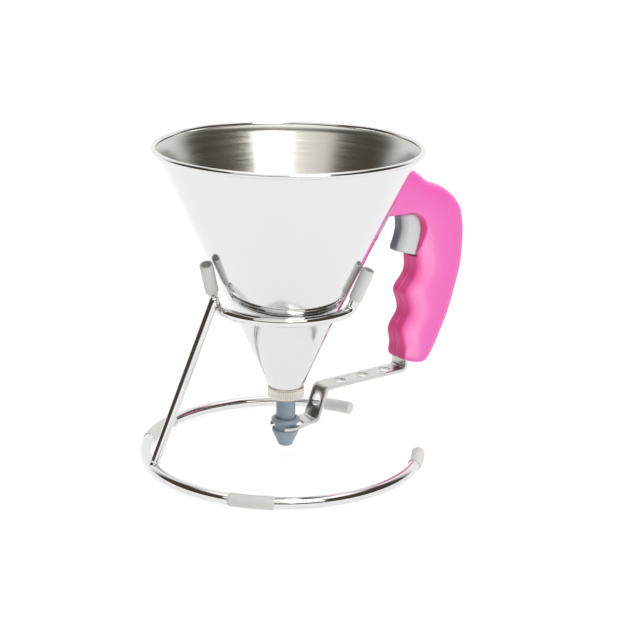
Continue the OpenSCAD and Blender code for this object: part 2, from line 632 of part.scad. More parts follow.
module lever_strip() {
  steep_tilt = atan2(steep_run, arm_z - fork_z);
  color(steel) place() difference() {
    union() {
      slab(thick(strip_line, strip_t), -strip_w / 2, strip_w / 2);
      translate([0, 0, fork_z - strip_t / 2]) linear_extrude(strip_t) difference() {
        union() {
          intersection() {
            circle(fork_r);
            translate([-5.7, -fork_r]) square([30, 2 * fork_r]);
          }
          polygon([[0, -fork_r], [3, -fork_r + 0.3], [9, -strip_w / 2 - 1], [13, -strip_w / 2],
                   [knee_x - 5, -strip_w / 2], [knee_x - 5, strip_w / 2], [13, strip_w / 2],
                   [9, strip_w / 2 + 1], [3, fork_r - 0.3], [0, fork_r]]);
        }
        hull() {
          translate([slot_end - 3, slot_half - 3]) circle(3);
          translate([slot_end - 3, -slot_half + 3]) circle(3);
          translate([-20, -slot_half]) square([10, 2 * slot_half]);
        }
      }
    }
    for (k = [0:2]) translate([upright_x - 11.9 - k * hole_pitch, 0, arm_z - 5]) cylinder(h = 10, r = hole_d / 2);
    translate([(knee_x + steep_x) / 2 + 0.15, 0, (fork_z + arm_z) / 2 + 1.4]) rotate([0, 90 - steep_tilt + 0, 0])
      rotate([0, 0, 0]) translate([0, 0, -5]) cylinder(h = 10, r = hole_d / 2);
    for (z = rivet_zs) translate([upright_x - 5, 0, z]) rotate([0, 90, 0]) cylinder(h = 10, r = rivet_r + fit);
  }
}
module lever_rivets() {
  front = upright_x - strip_t / 2;
  color(steel) place() for (z = rivet_zs) translate([front, 0, z]) rotate([0, 90, 0]) {
    cylinder(h = strip_t + 3.2, r = rivet_r);
    translate([0, 0, -0.7]) cylinder(h = 0.7, r1 = 2.3, r2 = 2.8);
  }
}

base_ring();
left_leg();
cradle_wire();
rear_leg();
foot_sleeve_front();
foot_sleeve_left();
end_sleeve_near();
end_sleeve_far();
prong_sleeve_left();
prong_sleeve_right();
prong_sleeve_rear();
funnel_cone();
neck_spigot();
neck_gasket();
collar_nut();
valve_tube();
valve_plug();
tube_o_ring();
handle_bracket();
handle_shell_near();
handle_shell_far();
handle_screws();
pivot_pin();
return_spring();
trigger();
pivot_bush();
lever_strip();
lever_rivets();
nozzle_slider();
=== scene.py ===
import json
import math

import bmesh
import bpy
from bpy.props import FloatProperty, FloatVectorProperty, IntProperty, PointerProperty
from mathutils import Matrix, Vector

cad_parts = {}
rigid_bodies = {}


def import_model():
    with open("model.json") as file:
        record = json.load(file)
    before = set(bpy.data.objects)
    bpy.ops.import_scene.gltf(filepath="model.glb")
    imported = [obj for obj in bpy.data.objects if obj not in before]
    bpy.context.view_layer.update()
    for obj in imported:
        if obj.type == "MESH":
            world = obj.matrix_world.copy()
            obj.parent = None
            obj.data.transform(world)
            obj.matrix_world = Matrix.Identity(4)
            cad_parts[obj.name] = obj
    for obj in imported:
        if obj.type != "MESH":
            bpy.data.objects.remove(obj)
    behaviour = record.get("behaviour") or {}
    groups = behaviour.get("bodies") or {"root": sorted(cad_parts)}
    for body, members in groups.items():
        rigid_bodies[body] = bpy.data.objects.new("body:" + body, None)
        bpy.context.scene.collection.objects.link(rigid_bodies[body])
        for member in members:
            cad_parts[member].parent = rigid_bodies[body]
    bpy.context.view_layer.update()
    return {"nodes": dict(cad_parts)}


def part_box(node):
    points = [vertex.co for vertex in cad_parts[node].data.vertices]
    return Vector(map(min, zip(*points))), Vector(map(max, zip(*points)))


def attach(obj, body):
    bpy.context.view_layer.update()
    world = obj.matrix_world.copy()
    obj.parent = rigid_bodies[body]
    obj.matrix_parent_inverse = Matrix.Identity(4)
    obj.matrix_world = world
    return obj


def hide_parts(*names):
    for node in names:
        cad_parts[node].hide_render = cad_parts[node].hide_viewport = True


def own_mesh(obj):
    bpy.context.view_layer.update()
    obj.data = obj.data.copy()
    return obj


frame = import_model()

bl_info = {
    "name": "Batter Dispenser Builder",
    "version": (1, 0, 0),
    "blender": (4, 5, 0),
    "location": "View3D > Sidebar > Dispenser",
    "description": "Dresses the funnel, its valve, handle and wire stand, and sets the studio",
    "category": "Object",
}

MM = 0.001
AIM_OFF = 0.01986  # how far the camera looks to the side of the target, as an angle


# --- sizes taken from the frame -------------------------------------------------------------------

def middle(node, axis):
    low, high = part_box(node)
    return (low[axis] + high[axis]) / 2


def span(node, axis):
    low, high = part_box(node)
    return high[axis] - low[axis]


AXIS = Vector((middle("funnel_cone", 0), middle("funnel_cone", 1), 0))
CONE_FOOT, CONE_TOP = (v.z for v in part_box("funnel_cone"))


def point(x, y, z):
    """A point given in millimetres from the funnel's axis and the table."""
    return Vector((AXIS.x + x * MM, AXIS.y + y * MM, z * MM))


class DispenserSizes(bpy.types.PropertyGroup):
    rim_radius: FloatProperty(
        name="Rim radius", description="Outer radius of the rolled rim",
        default=span("funnel_cone", 0) / 2, unit="LENGTH")
    bead: FloatProperty(
        name="Rim bead", description="Diameter of the rolled bead", default=0.0032, unit="LENGTH")
    cone_wall: FloatProperty(
        name="Cone wall", description="Thickness of the cone's wall", default=0.001, unit="LENGTH")
    cone_angle: FloatProperty(
        name="Cone angle", description="Angle between the cone's wall and its axis",
        default=math.radians(24.67), subtype="ANGLE")
    foot_radius: FloatProperty(
        name="Foot radius", description="Outer radius of the cone's foot", default=0.00965, unit="LENGTH")
    ring_wire: FloatProperty(
        name="Ring wire", description="Thickness of the base ring's wire", default=0.0064, unit="LENGTH")
    cradle_wire: FloatProperty(
        name="Cradle wire", description="Thickness of the cradle's and rear leg's wire",
        default=0.0058, unit="LENGTH")
    leg_wire: FloatProperty(
        name="Leg wire", description="Thickness of the left leg's wire", default=0.0054, unit="LENGTH")
    sleeve: FloatProperty(
        name="Sleeve", description="Diameter of the soft sleeves", default=0.0074, unit="LENGTH")
    sleeve_length: FloatProperty(
        name="Prong sleeve length", description="Length of the sleeves on the prongs",
        default=0.0194, unit="LENGTH")
    nut_ribs: IntProperty(
        name="Nut ribs", description="Number of ribs round the collar nut", default=48)
    grip_half: FloatProperty(
        name="Grip half thickness", description="Half the thickness of the handle",
        default=span("handle_shell_near", 1), unit="LENGTH")
    trigger_half: FloatProperty(
        name="Trigger half width", description="Half the width of the trigger",
        default=span("trigger", 1) / 2, unit="LENGTH")
    strip_width: FloatProperty(
        name="Strip width", description="Width of the lever strip", default=0.0125, unit="LENGTH")
    strip_thickness: FloatProperty(
        name="Strip thickness", description="Thickness of the lever strip", default=0.0018, unit="LENGTH")
    voxel: FloatProperty(
        name="Moulding detail", description="Voxel size used to round the moulded pieces",
        default=0.00055, unit="LENGTH")


class DispenserFinish(bpy.types.PropertyGroup):
    handle: FloatVectorProperty(
        name="Handle", description="Colour of the soft-touch handle", subtype="COLOR",
        default=(0.81, 0.108, 0.455), min=0, max=1)
    # painted shade: the handle shade is mixed onto the handle's faces turned towards -X, its finger side, and
    # also into slow random patches
    handle_shade: FloatVectorProperty(
        name="Handle shade", description="Deeper tone in the handle's hollows", subtype="COLOR",
        default=(0.82, 0.052, 0.27), min=0, max=1)
    sleeve: FloatVectorProperty(
        name="Sleeve", description="Colour of the soft sleeves", subtype="COLOR",
        default=(0.66, 0.67, 0.645), min=0, max=1)
    valve: FloatVectorProperty(
        name="Valve", description="Colour of the tube and nozzle", subtype="COLOR",
        default=(0.27, 0.325, 0.38), min=0, max=1)
    trigger: FloatVectorProperty(
        name="Trigger", description="Colour of the trigger", subtype="COLOR",
        default=(0.63, 0.67, 0.685), min=0, max=1)
    steel: FloatVectorProperty(
        name="Steel", description="Tint of the polished steel", subtype="COLOR",
        default=(0.79, 0.79, 0.79), min=0, max=1)
    floor: FloatVectorProperty(
        name="Floor", description="Colour of the floor", subtype="COLOR",
        default=(0.16, 0.16, 0.165), min=0, max=1)


class DispenserStage(bpy.types.PropertyGroup):
    camera: FloatVectorProperty(
        name="Camera", description="Place of the camera", subtype="XYZ", unit="LENGTH",
        default=(-0.53359, -0.6921, 0.3509))
    pitch: FloatProperty(
        name="Pitch", description="How far the camera looks down", default=0.3021, subtype="ANGLE")
    heading: FloatProperty(
        name="Heading", description="Direction that the camera looks in, from +Y towards +X",
        default=math.radians(36.5) + AIM_OFF, subtype="ANGLE")
    roll: FloatProperty(
        name="Roll", description="Roll of the camera", default=-0.01634, subtype="ANGLE")
    lens: FloatProperty(
        name="Lens", description="Focal length on a 36 mm sensor, in millimetres", default=90.93)
    sun: FloatProperty(
        name="Overhead light", description="Strength of the wide overhead light", default=1.2)
    side: FloatProperty(
        name="Side light", description="Strength of the wide light on the handle's near side", default=1.4)
    strip: FloatProperty(
        name="Strip light", description="Power of the strip light, in watts", default=6.2)
    wire: FloatProperty(
        name="Wire light", description="Power of the soft light on the stand's wire, in watts", default=2.3)
    grip: FloatProperty(
        name="Grip light", description="Power of the light that shines on the grip alone, in watts",
        default=13.0)
    fill: FloatProperty(
        name="Fill card", description="Power of the grey card beside the camera, in watts", default=3.0)


def sizes():
    return bpy.context.scene.dispenser_sizes


def finish():
    return bpy.context.scene.dispenser_finish


# --- mesh tools -----------------------------------------------------------------------------------

def add_piece(name, verts, faces, materials, sharp=35, marks=None):
    """A new object from points and faces, smooth except at edges sharper than the angle."""
    mesh = bpy.data.meshes.new(name)
    mesh.from_pydata([tuple(v) for v in verts], [], faces)
    for m in materials:
        mesh.materials.append(m)
    if marks:
        mesh.polygons.foreach_set("material_index", marks)
    obj = bpy.data.objects.new(name, mesh)
    bpy.context.scene.collection.objects.link(obj)
    tidy_mesh(obj, sharp)
    return obj


def tidy_mesh(obj, sharp):
    """Merges doubled points, turns all faces outwards and sets smooth shading."""
    bm = bmesh.new()
    bm.from_mesh(obj.data)
    bmesh.ops.remove_doubles(bm, verts=bm.verts, dist=1e-7)
    bmesh.ops.recalc_face_normals(bm, faces=bm.faces)
    for f in bm.faces:
        f.smooth = True
    bm.to_mesh(obj.data)
    bm.free()
    obj.data.set_sharp_from_angle(angle=math.radians(sharp))


def dress(obj, body, slot, *nodes):
    """Puts a piece on its body and lets it stand for its nodes, which it hides. The slot is not used."""
    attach(obj, body)
    if nodes:
        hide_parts(*nodes)


def settle(obj):
    """Turns an object's modifiers into plain mesh."""
    graph = bpy.context.evaluated_depsgraph_get()
    mesh = bpy.data.meshes.new_from_object(obj.evaluated_get(graph))
    old = obj.data
    obj.modifiers.clear()
    obj.data = mesh
    bpy.data.meshes.remove(old)
    mesh.name = obj.name


def cut(obj, cutters, join=False):
    """Takes the cutters out of a solid, or joins them to it, and deletes them."""
    for c in cutters:
        mod = obj.modifiers.new("cut", "BOOLEAN")
        mod.operation = "UNION" if join else "DIFFERENCE"
        mod.solver = "EXACT"
        mod.object = c
    settle(obj)
    for c in cutters:
        mesh = c.data
        bpy.data.objects.remove(c)
        bpy.data.meshes.remove(mesh)


def mould(obj, voxel, rounds):
    """Rounds all edges of a solid as a mould would."""
    materials = list(obj.data.materials)
    mod = obj.modifiers.new("skin", "REMESH")
    mod.mode = "VOXEL"
    mod.voxel_size = voxel
    soft = obj.modifiers.new("soft", "SMOOTH")
    soft.factor = 0.5
    soft.iterations = rounds
    settle(obj)
    obj.data.materials.clear()
    for m in materials:
        obj.data.materials.append(m)
    tidy_mesh(obj, 50)


def around(row, angle):
    """A point on a ring given by its radius, its centre and two directions."""
    radius, centre, x, y = row
    return centre + x * (radius * math.cos(angle)) + y * (radius * math.sin(angle))


def rings(rows, sides, place=around, closed=True):
    """Points, faces and the number of each face's band, of rows joined into a skin. A row starts with its
    radius, where 0 stands for one point, and place(row, angle) gives its points."""
    verts, loops = [], []
    for row in rows:
        if row[0] < 1e-7:
            loops.append([len(verts)] * sides)
            verts.append(place(row, 0))
            continue
        loops.append(range(len(verts), len(verts) + sides))
        verts += [place(row, 2 * math.pi * i / sides) for i in range(sides)]
    faces, bands = [], []
    for k in range(len(loops) if closed else len(loops) - 1):
        low, high = loops[k], loops[(k + 1) % len(loops)]
        for i in range(sides):
            j = (i + 1) % sides
            face = list(dict.fromkeys([low[i], low[j], high[j], high[i]]))
            if len(face) > 2:
                faces.append(face)
                bands.append(k)
    return verts, faces, bands


def spun(profile, segments):
    """Points, faces and bands of a closed profile of (radius, height) spun round the funnel's axis."""
    return rings(profile, segments,
                 lambda row, a: (AXIS.x + row[0] * math.cos(a), AXIS.y + row[0] * math.sin(a), row[1]))


def rounded(profile, radii, steps=3):
    """A closed profile with each corner rounded by its own radius."""
    out, n = [], len(profile)
    for i, radius in enumerate(radii):
        a, b, c = (Vector(profile[(i + k) % n]) for k in (-1, 0, 1))
        u, v = a - b, c - b
        d = min(radius, 0.45 * u.length, 0.45 * v.length)
        p, q = b + u.normalized() * d, b + v.normalized() * d
        for k in range(steps + 1):
            t = k / steps
            out.append(tuple(p * (1 - t) ** 2 + b * 2 * t * (1 - t) + q * t * t))
    return out


class Path:
    """A dense line in space with a frame carried along it without twist."""

    def __init__(self, points):
        self.points, up = points, Vector((0, 0, 1))
        self.at = [0.0]
        for a, b in zip(points, points[1:]):
            self.at.append(self.at[-1] + (b - a).length)
        self.length = self.at[-1]
        self.frames = []
        for i in range(len(points)):
            t = (points[min(i + 1, len(points) - 1)] - points[max(i - 1, 0)]).normalized()
            if i == 0:
                side = t.cross(up if abs(t.dot(up)) < 0.95 else Vector((1, 0, 0))).normalized()
            else:
                side = (side - t * side.dot(t)).normalized()
            self.frames.append((t, side, t.cross(side)))

    def find(self, s):
        """The point at a distance along the line, and two directions across the line there."""
        s = min(max(s, 0), self.length)
        low, high = 0, len(self.at) - 1
        while high - low > 1:
            k = (low + high) // 2
            low, high = (k, high) if self.at[k] <= s else (low, k)
        f = (s - self.at[low]) / max(self.at[high] - self.at[low], 1e-12)
        p = self.points[low].lerp(self.points[high], f)
        return p, self.frames[low][1].lerp(self.frames[high][1], f).normalized(), \
            self.frames[low][2].lerp(self.frames[high][2], f).normalized()

    def turned(self, profile, sides=40, closed=False):
        """Points and faces of rings of the given radius at each distance; a radius of 0 closes an end."""
        rows = []
        for s, r in profile:
            p, x, y = self.find(s)
            over = s - min(max(s, 0), self.length)
            rows.append((r, p + x.cross(y).normalized() * over if over else p, x, y))
        return rings(rows, sides, closed=closed)[:2]


def arc_points(centre, radius, start, stop, step=1.0):
    """Points on a level arc between two angles in degrees."""
    n = max(2, int(abs(stop - start) / step))
    angles = [math.radians(start + (stop - start) * i / n) for i in range(n + 1)]
    return [centre + Vector((radius * math.cos(a), radius * math.sin(a), 0)) for a in angles]


def bent(start, heading, end, radius):
    """A wire's points from start, along heading, round one bend and straight on to end."""
    d, steps = end - start, 24
    a = d.dot(heading)
    side = (d - heading * a).normalized()
    b = d.dot(side) - radius
    turn = math.atan2(b, a) + math.atan2(radius, math.sqrt(a * a + b * b - radius * radius))
    points = [start + heading * (radius * math.sin(turn * i / steps))
              + side * (radius * (1 - math.cos(turn * i / steps))) for i in range(steps + 1)]
    last = points[-1]
    count = max(2, int((end - last).length / 0.002))
    return points + [last.lerp(end, i / count) for i in range(1, count + 1)]


def block(name, low, high):
    """A plain box used only as a cutter."""
    x0, y0, z0 = low
    x1, y1, z1 = high
    verts = [(x, y, z) for x in (x0, x1) for y in (y0, y1) for z in (z0, z1)]
    faces = [(0, 1, 3, 2), (4, 6, 7, 5), (0, 4, 5, 1), (2, 3, 7, 6), (0, 2, 6, 4), (1, 5, 7, 3)]
    return add_piece(name, verts, faces, [], 30)


def rod(name, start, end, radius, sides, chamfer=0):
    """A round bar between two points, used as a cutter or joined on."""
    path = Path([start, end])
    tip = [(path.length - chamfer, radius)] * bool(chamfer) + [(path.length, radius - chamfer)]
    return add_piece(name, *path.turned([(0, 0), (0, radius)] + tip + [(path.length, 0)], sides), [], 30)


def slab(name, outline, y0, y1):
    """A flat outline of (x, z) points made thick along Y."""
    n = len(outline)
    verts = [(x, y, z) for y in (y0, y1) for x, z in outline]
    faces = [list(range(n)), list(range(2 * n - 1, n - 1, -1))]
    faces += [(i, (i + 1) % n, n + (i + 1) % n, n + i) for i in range(n)]
    return add_piece(name, verts, faces, [], 30)


def dowel(name, centre, radius, y0, y1):
    """A round slab about an (x, z) centre."""
    angles = [2 * math.pi * i / 48 for i in range(48)]
    return slab(name, [(centre[0] + radius * math.cos(a), centre[1] + radius * math.sin(a))
                       for a in angles], y0, y1)


def smooth_rows(rows, steps):
    """A smooth curve through rows of numbers, with the given number of steps between two rows."""
    out = []
    for i in range(len(rows) - 1):
        a, b, c, d = (rows[min(max(i + k, 0), len(rows) - 1)] for k in (-1, 0, 1, 2))
        for j in range(steps):
            t = j / steps
            out.append([(2 * q + (r - p) * t + (2 * p - 5 * q + 4 * r - s) * t * t
                         + (3 * q - p - 3 * r + s) * t ** 3) / 2 for p, q, r, s in zip(a, b, c, d)])
    return out + [list(rows[-1])]


# --- shared shader effects ------------------------------------------------------------------------

GROUPS = {}
SOCKETS = {3: "NodeSocketVector", 4: "NodeSocketColor"}


def shader_group(name, inputs, *outputs):
    """A new node group: its tree, the outputs of its inputs by name, and the inputs of its outputs."""
    tree = bpy.data.node_groups.new(name, "ShaderNodeTree")
    for label, value in inputs.items():
        kind = SOCKETS[len(value)] if isinstance(value, tuple) else "NodeSocketFloat"
        tree.interface.new_socket(name=label, in_out="INPUT", socket_type=kind).default_value = value
    for label in outputs:
        kind = "NodeSocketColor" if label == "Colour" else "NodeSocketFloat"
        tree.interface.new_socket(name=label, in_out="OUTPUT", socket_type=kind)
    GROUPS[name] = tree
    return tree, tree.nodes.new("NodeGroupInput").outputs, tree.nodes.new("NodeGroupOutput").inputs


def feed(tree, socket, value):
    """Links an output into a socket, or sets the socket to a plain value."""
    if isinstance(value, bpy.types.NodeSocket):
        tree.links.new(value, socket)
    else:
        socket.default_value = value


def node(tree, kind, inputs, **settings):
    """Adds a node, sets its options and feeds its inputs."""
    n = tree.nodes.new(kind)
    for key, value in settings.items():
        setattr(n, key, value)
    for key, value in inputs.items():
        feed(tree, n.inputs[key], value)
    return n


def maths(tree, operation, a, b=0.5, clamp=False):
    return node(tree, "ShaderNodeMath", {0: a, 1: b}, operation=operation, use_clamp=clamp).outputs[0]


def spread(tree, value, low, high, to_low=0.0, to_high=1.0):
    return node(tree, "ShaderNodeMapRange", {"Value": value, "From Min": low, "From Max": high,
                                             "To Min": to_low, "To Max": to_high}).outputs["Result"]


def blend(tree, factor, a, b):
    return node(tree, "ShaderNodeMix", {"Factor": factor, 6: a, 7: b}, data_type="RGBA").outputs[2]


def noise(tree, place, scale, detail, rough=0.5):
    return node(tree, "ShaderNodeTexNoise", {"Vector": place, "Scale": scale, "Detail": detail,
                                             "Roughness": rough}).outputs["Fac"]


def across(tree, kind, a, b):
    """Works out a sum of two vectors: SUBTRACT, MULTIPLY or DOT_PRODUCT."""
    n = node(tree, "ShaderNodeVectorMath", {0: a, 1: b}, operation=kind)
    return n.outputs["Value" if kind == "DOT_PRODUCT" else "Vector"]


def coordinates(tree, kind="Object"):
    return tree.nodes.new("ShaderNodeTexCoord").outputs[kind]


def split(tree, vector):
    return node(tree, "ShaderNodeSeparateXYZ", {"Vector": vector}).outputs


def make_groups():
    # Lines left by turning or drawing: fine streaks that run round a vertical axis.
    tree, given, out = shader_group("Turned Lines", {
        "Centre": tuple(AXIS), "Lines per mm": 4.0, "Rough Low": 0.2, "Rough High": 0.4},
        "Roughness", "Height", "Tone")
    x, y, z = split(tree, across(tree, "SUBTRACT", coordinates(tree), given["Centre"]))
    turn = maths(tree, "ARCTAN2", y, x)
    place = node(tree, "ShaderNodeCombineXYZ", {
        0: maths(tree, "MULTIPLY", maths(tree, "SINE", turn), 0.9),
        1: maths(tree, "MULTIPLY", maths(tree, "COSINE", turn), 0.9),
        2: maths(tree, "MULTIPLY", maths(tree, "MULTIPLY", z, 1000.0), given["Lines per mm"])}).outputs[0]
    both = maths(tree, "ADD", maths(tree, "MULTIPLY", noise(tree, place, 1.0, 3.0), 0.65),
                 maths(tree, "MULTIPLY", noise(tree, place, 0.13, 2.0), 0.35))
    feed(tree, out["Height"], both)
    feed(tree, out["Tone"], spread(tree, both, 0.3, 0.7))
    feed(tree, out["Roughness"], spread(tree, both, 0.3, 0.7, given["Rough Low"], given["Rough High"]))

    # Light handling marks on a polished surface: faint smears and hairlines.
    tree, given, out = shader_group("Handling Marks", {
        "Scale": 30.0, "Rough Low": 0.04, "Rough High": 0.12}, "Roughness", "Height", "Tone")
    smear = spread(tree, noise(tree, coordinates(tree), given["Scale"], 4.0, 0.6), 0.48, 0.72)
    streaks = across(tree, "MULTIPLY", coordinates(tree), (900.0, 900.0, 60.0))
    feed(tree, out["Tone"], smear)
    feed(tree, out["Height"], noise(tree, streaks, 1.0, 2.0))
    feed(tree, out["Roughness"], spread(tree, smear, 0.0, 1.0, given["Rough Low"], given["Rough High"]))

    # The fine skin of a moulded part, with slow random changes of tone, and painted shade on its finger side:
    # faces turned towards -X take the Shade colour.
    tree, given, out = shader_group("Moulded Skin", {
        "Grains per mm": 3.0, "Rough Low": 0.4, "Rough High": 0.55, "Colour": (0.8, 0.8, 0.8, 1.0),
        "Shade": (0.7, 0.7, 0.7, 1.0), "Finger Side": 0.0}, "Colour", "Roughness", "Height")
    grains = maths(tree, "MULTIPLY", given["Grains per mm"], 1000.0)
    slow = noise(tree, coordinates(tree), 38.0, 3.0)
    facing = split(tree, coordinates(tree, "Normal"))[0]
    # painted shade: the more a face turns towards -X, the more it takes the Shade colour
    painted_finger_shade = maths(tree, "MULTIPLY", spread(tree, facing, -0.15, -0.9), given["Finger Side"])
    patchy = maths(tree, "MULTIPLY", spread(tree, slow, 0.35, 0.75, 0.0, 0.35),
                   maths(tree, "SUBTRACT", 1.0, maths(tree, "MULTIPLY", given["Finger Side"], 0.8)))
    # the Shade colour goes into random patches, and as painted shade onto the finger side
    tone_and_painted_shade = maths(tree, "MAXIMUM", painted_finger_shade, patchy, True)
    feed(tree, out["Colour"], blend(tree, tone_and_painted_shade, given["Colour"], given["Shade"]))
    feed(tree, out["Height"], noise(tree, coordinates(tree), grains, 2.0, 0.7))
    feed(tree, out["Roughness"], spread(tree, slow, 0.3, 0.7, given["Rough Low"], given["Rough High"]))


def rgba(colour, factor=1.0):
    return tuple(min(1.0, c * factor) for c in colour) + (1.0,)


def shader(name, group, values, **sockets):
    """A new material: a Principled shader with its constant sockets set, and a group with its values."""
    mat = bpy.data.materials.new(name)
    mat.use_nodes = True
    tree = mat.node_tree
    bsdf = tree.nodes["Principled BSDF"].inputs
    for key, value in sockets.items():
        bsdf[key.replace("_", " ")].default_value = value
    effect = node(tree, "ShaderNodeGroup", {}, node_tree=GROUPS[group])
    for key, value in values.items():
        effect.inputs[key].default_value = value
    return mat, tree, bsdf, effect.outputs


def grained(tree, bsdf, effect, strength, depth):
    """Takes the roughness and the fine relief from the effect."""
    feed(tree, bsdf["Roughness"], effect["Roughness"])
    relief = node(tree, "ShaderNodeBump", {
        "Height": effect["Height"], "Strength": strength, "Distance": depth})
    feed(tree, bsdf["Normal"], relief.outputs["Normal"])


def polished(name, tint, low, high, scale):
    """Polished metal with handling marks."""
    mat, tree, bsdf, marks = shader(name, "Handling Marks", {
        "Scale": scale, "Rough Low": low, "Rough High": high}, Metallic=1.0)
    feed(tree, bsdf["Base Color"], blend(tree, marks["Tone"], rgba(tint), rgba(tint, 0.93)))
    grained(tree, bsdf, marks, 0.03, 0.00002)
    return mat


def turned_steel(name, tint, low, high, lines, anisotropic, strength, dull=0.88):
    """Steel with the fine lines of turning, which stretch its highlights across them."""
    mat, tree, bsdf, grain = shader(name, "Turned Lines", {
        "Lines per mm": lines, "Rough Low": low, "Rough High": high}, Metallic=1.0, Anisotropic=anisotropic)
    feed(tree, bsdf["Base Color"], blend(tree, grain["Tone"], rgba(tint, dull), rgba(tint)))
    way = node(tree, "ShaderNodeTangent", {}, direction_type="RADIAL", axis="Z")
    feed(tree, bsdf["Tangent"], way.outputs[0])
    grained(tree, bsdf, grain, strength, 0.00005)
    return mat


def moulded(name, colour, shade, low, high, grains, strength, painted_finger_shade=0.0, **sockets):
    """Moulded plastic or rubber, darker in slow random patches; the finger-side weight sets how far faces
    turned towards -X take the shade colour, as painted shade.
    """
    mat, tree, bsdf, skin = shader(name, "Moulded Skin", {
        "Grains per mm": grains, "Rough Low": low, "Rough High": high, "Colour": rgba(colour),
        "Shade": rgba(shade), "Finger Side": painted_finger_shade}, **sockets)
    feed(tree, bsdf["Base Color"], skin["Colour"])
    grained(tree, bsdf, skin, strength, 0.00004)
    return mat


MATERIALS = {}


def make_materials():
    make_groups()
    f = finish()
    MATERIALS.update(
        wire=polished("Polished Wire", f.steel, 0.07, 0.13, 45.0),
        cone=turned_steel("Turned Cone", f.steel, 0.085, 0.095, 0.6, 0.7, 0.0, 0.985),
        inside=turned_steel("Turned Cone Inside", (0.70, 0.69, 0.66), 0.16, 0.28, 3.0, 0.75, 0.18),
        nut=turned_steel("Turned Nut", (0.80, 0.77, 0.71), 0.22, 0.34, 6.0, 0.3, 0.1),
        strip=polished("Satin Strip", (0.66, 0.65, 0.625), 0.22, 0.32, 60.0),
        fitting=polished("Fitting Steel", (0.62, 0.62, 0.61), 0.25, 0.4, 80.0),
        brass=polished("Bush Brass", (0.72, 0.55, 0.28), 0.25, 0.4, 80.0),
        # painted shade: a darker grey for the end faces of the prong sleeves' tips
        plug=moulded("Sleeve Tip Painted Shade", (0.33, 0.33, 0.33), (0.27, 0.27, 0.27), 0.5, 0.6, 2.5, 0.1),
        sleeve=moulded("Sleeve Rubber", f.sleeve, tuple(c * 0.94 for c in f.sleeve), 0.5, 0.62, 2.5, 0.12,
                       Subsurface_Weight=0.1, Subsurface_Radius=(0.002, 0.002, 0.002),
                       Subsurface_Scale=1.0),
        seal=moulded("Seal Rubber", (0.02, 0.02, 0.02), (0.03, 0.03, 0.03), 0.5, 0.7, 3.0, 0.2),
        valve=moulded("Valve Plastic", f.valve, tuple(c * 0.9 for c in f.valve), 0.27, 0.36, 3.0, 0.08),
        # the trigger's dark grey is painted shade on its front face, the faces turned towards -X
        trigger=moulded("Trigger Plastic", f.trigger, (0.16, 0.185, 0.19), 0.30, 0.38, 3.0, 0.1, 1.0),
        # its shade colour is painted shade on the finger side, and random darker patches elsewhere
        handle=moulded("Soft Handle", f.handle, f.handle_shade, 0.42, 0.50, 2.2, 0.16, 1.0,
                       Sheen_Weight=0.15, Sheen_Roughness=0.4),
    )


# --- wire stand -----------------------------------------------------------------------------------

def cone_radius(z):
    """Outer radius of the cone at a height, in metres."""
    s = sizes()
    return s.foot_radius + (z - CONE_FOOT) * math.tan(s.cone_angle)


def beside_cone(azimuth, gap, z):
    """A point beside the cone: azimuth in degrees, distance from the wall, height, in metres."""
    r = cone_radius(z) + gap / math.cos(sizes().cone_angle)
    a = math.radians(azimuth)
    return Vector((AXIS.x + r * math.cos(a), AXIS.y + r * math.sin(a), z))


# Azimuths in degrees from +X towards +Y: the ring's two tips, the cradle's two ends, the legs' feet, and
# the tips of the prongs.
NEAR_TIP, FAR_TIP = -40.6, 21.2
ARC_LEFT, ARC_RIGHT = 173.0, 291.0
LEFT_FOOT, REAR_FOOT = 167.5, 53.9
LEFT_TIP, RIGHT_TIP, REAR_TIP = 170.2, -57.6, 55
RING_R = 0.0783
RING_OFF = (-1.1, 1.6)  # the ring's middle from the funnel's axis, in millimetres
CRADLE_Z = 0.0909
CRADLE_OFF = (1.8, 4.6)  # the middle of the cradle's arc from the funnel's axis, in millimetres
REST_GAP = 0.0003  # between the cone and the sleeves that it rests on
WIRE_END = 0.0016  # how far a wire ends short of its sleeve's tip
PRONG_BEND, REAR_BEND = 0.0045, 0.008
LEG_SIDE = Vector((-0.5, -0.86, 0))  # the side of the left prong that its leg is welded to


def ring_centre():
    return point(*RING_OFF, sizes().sleeve / 2 / MM)


def ring_point(azimuth):
    a = math.radians(azimuth)
    return ring_centre() + Vector((RING_R * math.cos(a), RING_R * math.sin(a), 0))


def cradle_arc():
    """Middle and radius of the cradle's arc."""
    s = sizes()
    radius = math.hypot(CRADLE_OFF[0] * MM, CRADLE_OFF[1] * MM) + cone_radius(CRADLE_Z) \
        + (s.cradle_wire / 2 + REST_GAP) / math.cos(s.cone_angle)
    return point(*CRADLE_OFF, CRADLE_Z / MM), radius


def prong_paths():
    """The bent part of each prong, from its arc or leg to its sleeve's tip."""
    s = sizes()
    centre, radius = cradle_arc()
    seat = s.sleeve / 2 + REST_GAP
    out = {}
    for name, azimuth, sign, tip in (
            ("left", ARC_LEFT, 1, beside_cone(LEFT_TIP, seat, CRADLE_Z + 0.0284)),
            ("right", ARC_RIGHT, -1, beside_cone(RIGHT_TIP, seat, CRADLE_Z + 0.025))):
        a = math.radians(azimuth)
        start = centre + Vector((radius * math.cos(a), radius * math.sin(a), 0))
        heading = Vector((sign * math.sin(a), -sign * math.cos(a), 0))
        out[name] = bent(start, heading, tip, PRONG_BEND)
    foot = ring_point(REAR_FOOT)
    knee = beside_cone(REAR_TIP, s.cradle_wire / 2 + 0.0026, CRADLE_Z)
    tip = beside_cone(REAR_TIP, seat, CRADLE_Z + 0.028)
    heading = (knee - foot).normalized()
    start = knee - heading * (REAR_BEND * math.tan(heading.angle(tip - knee) / 2))
    out["rear"] = bent(start, heading, tip, REAR_BEND)
    return out, foot


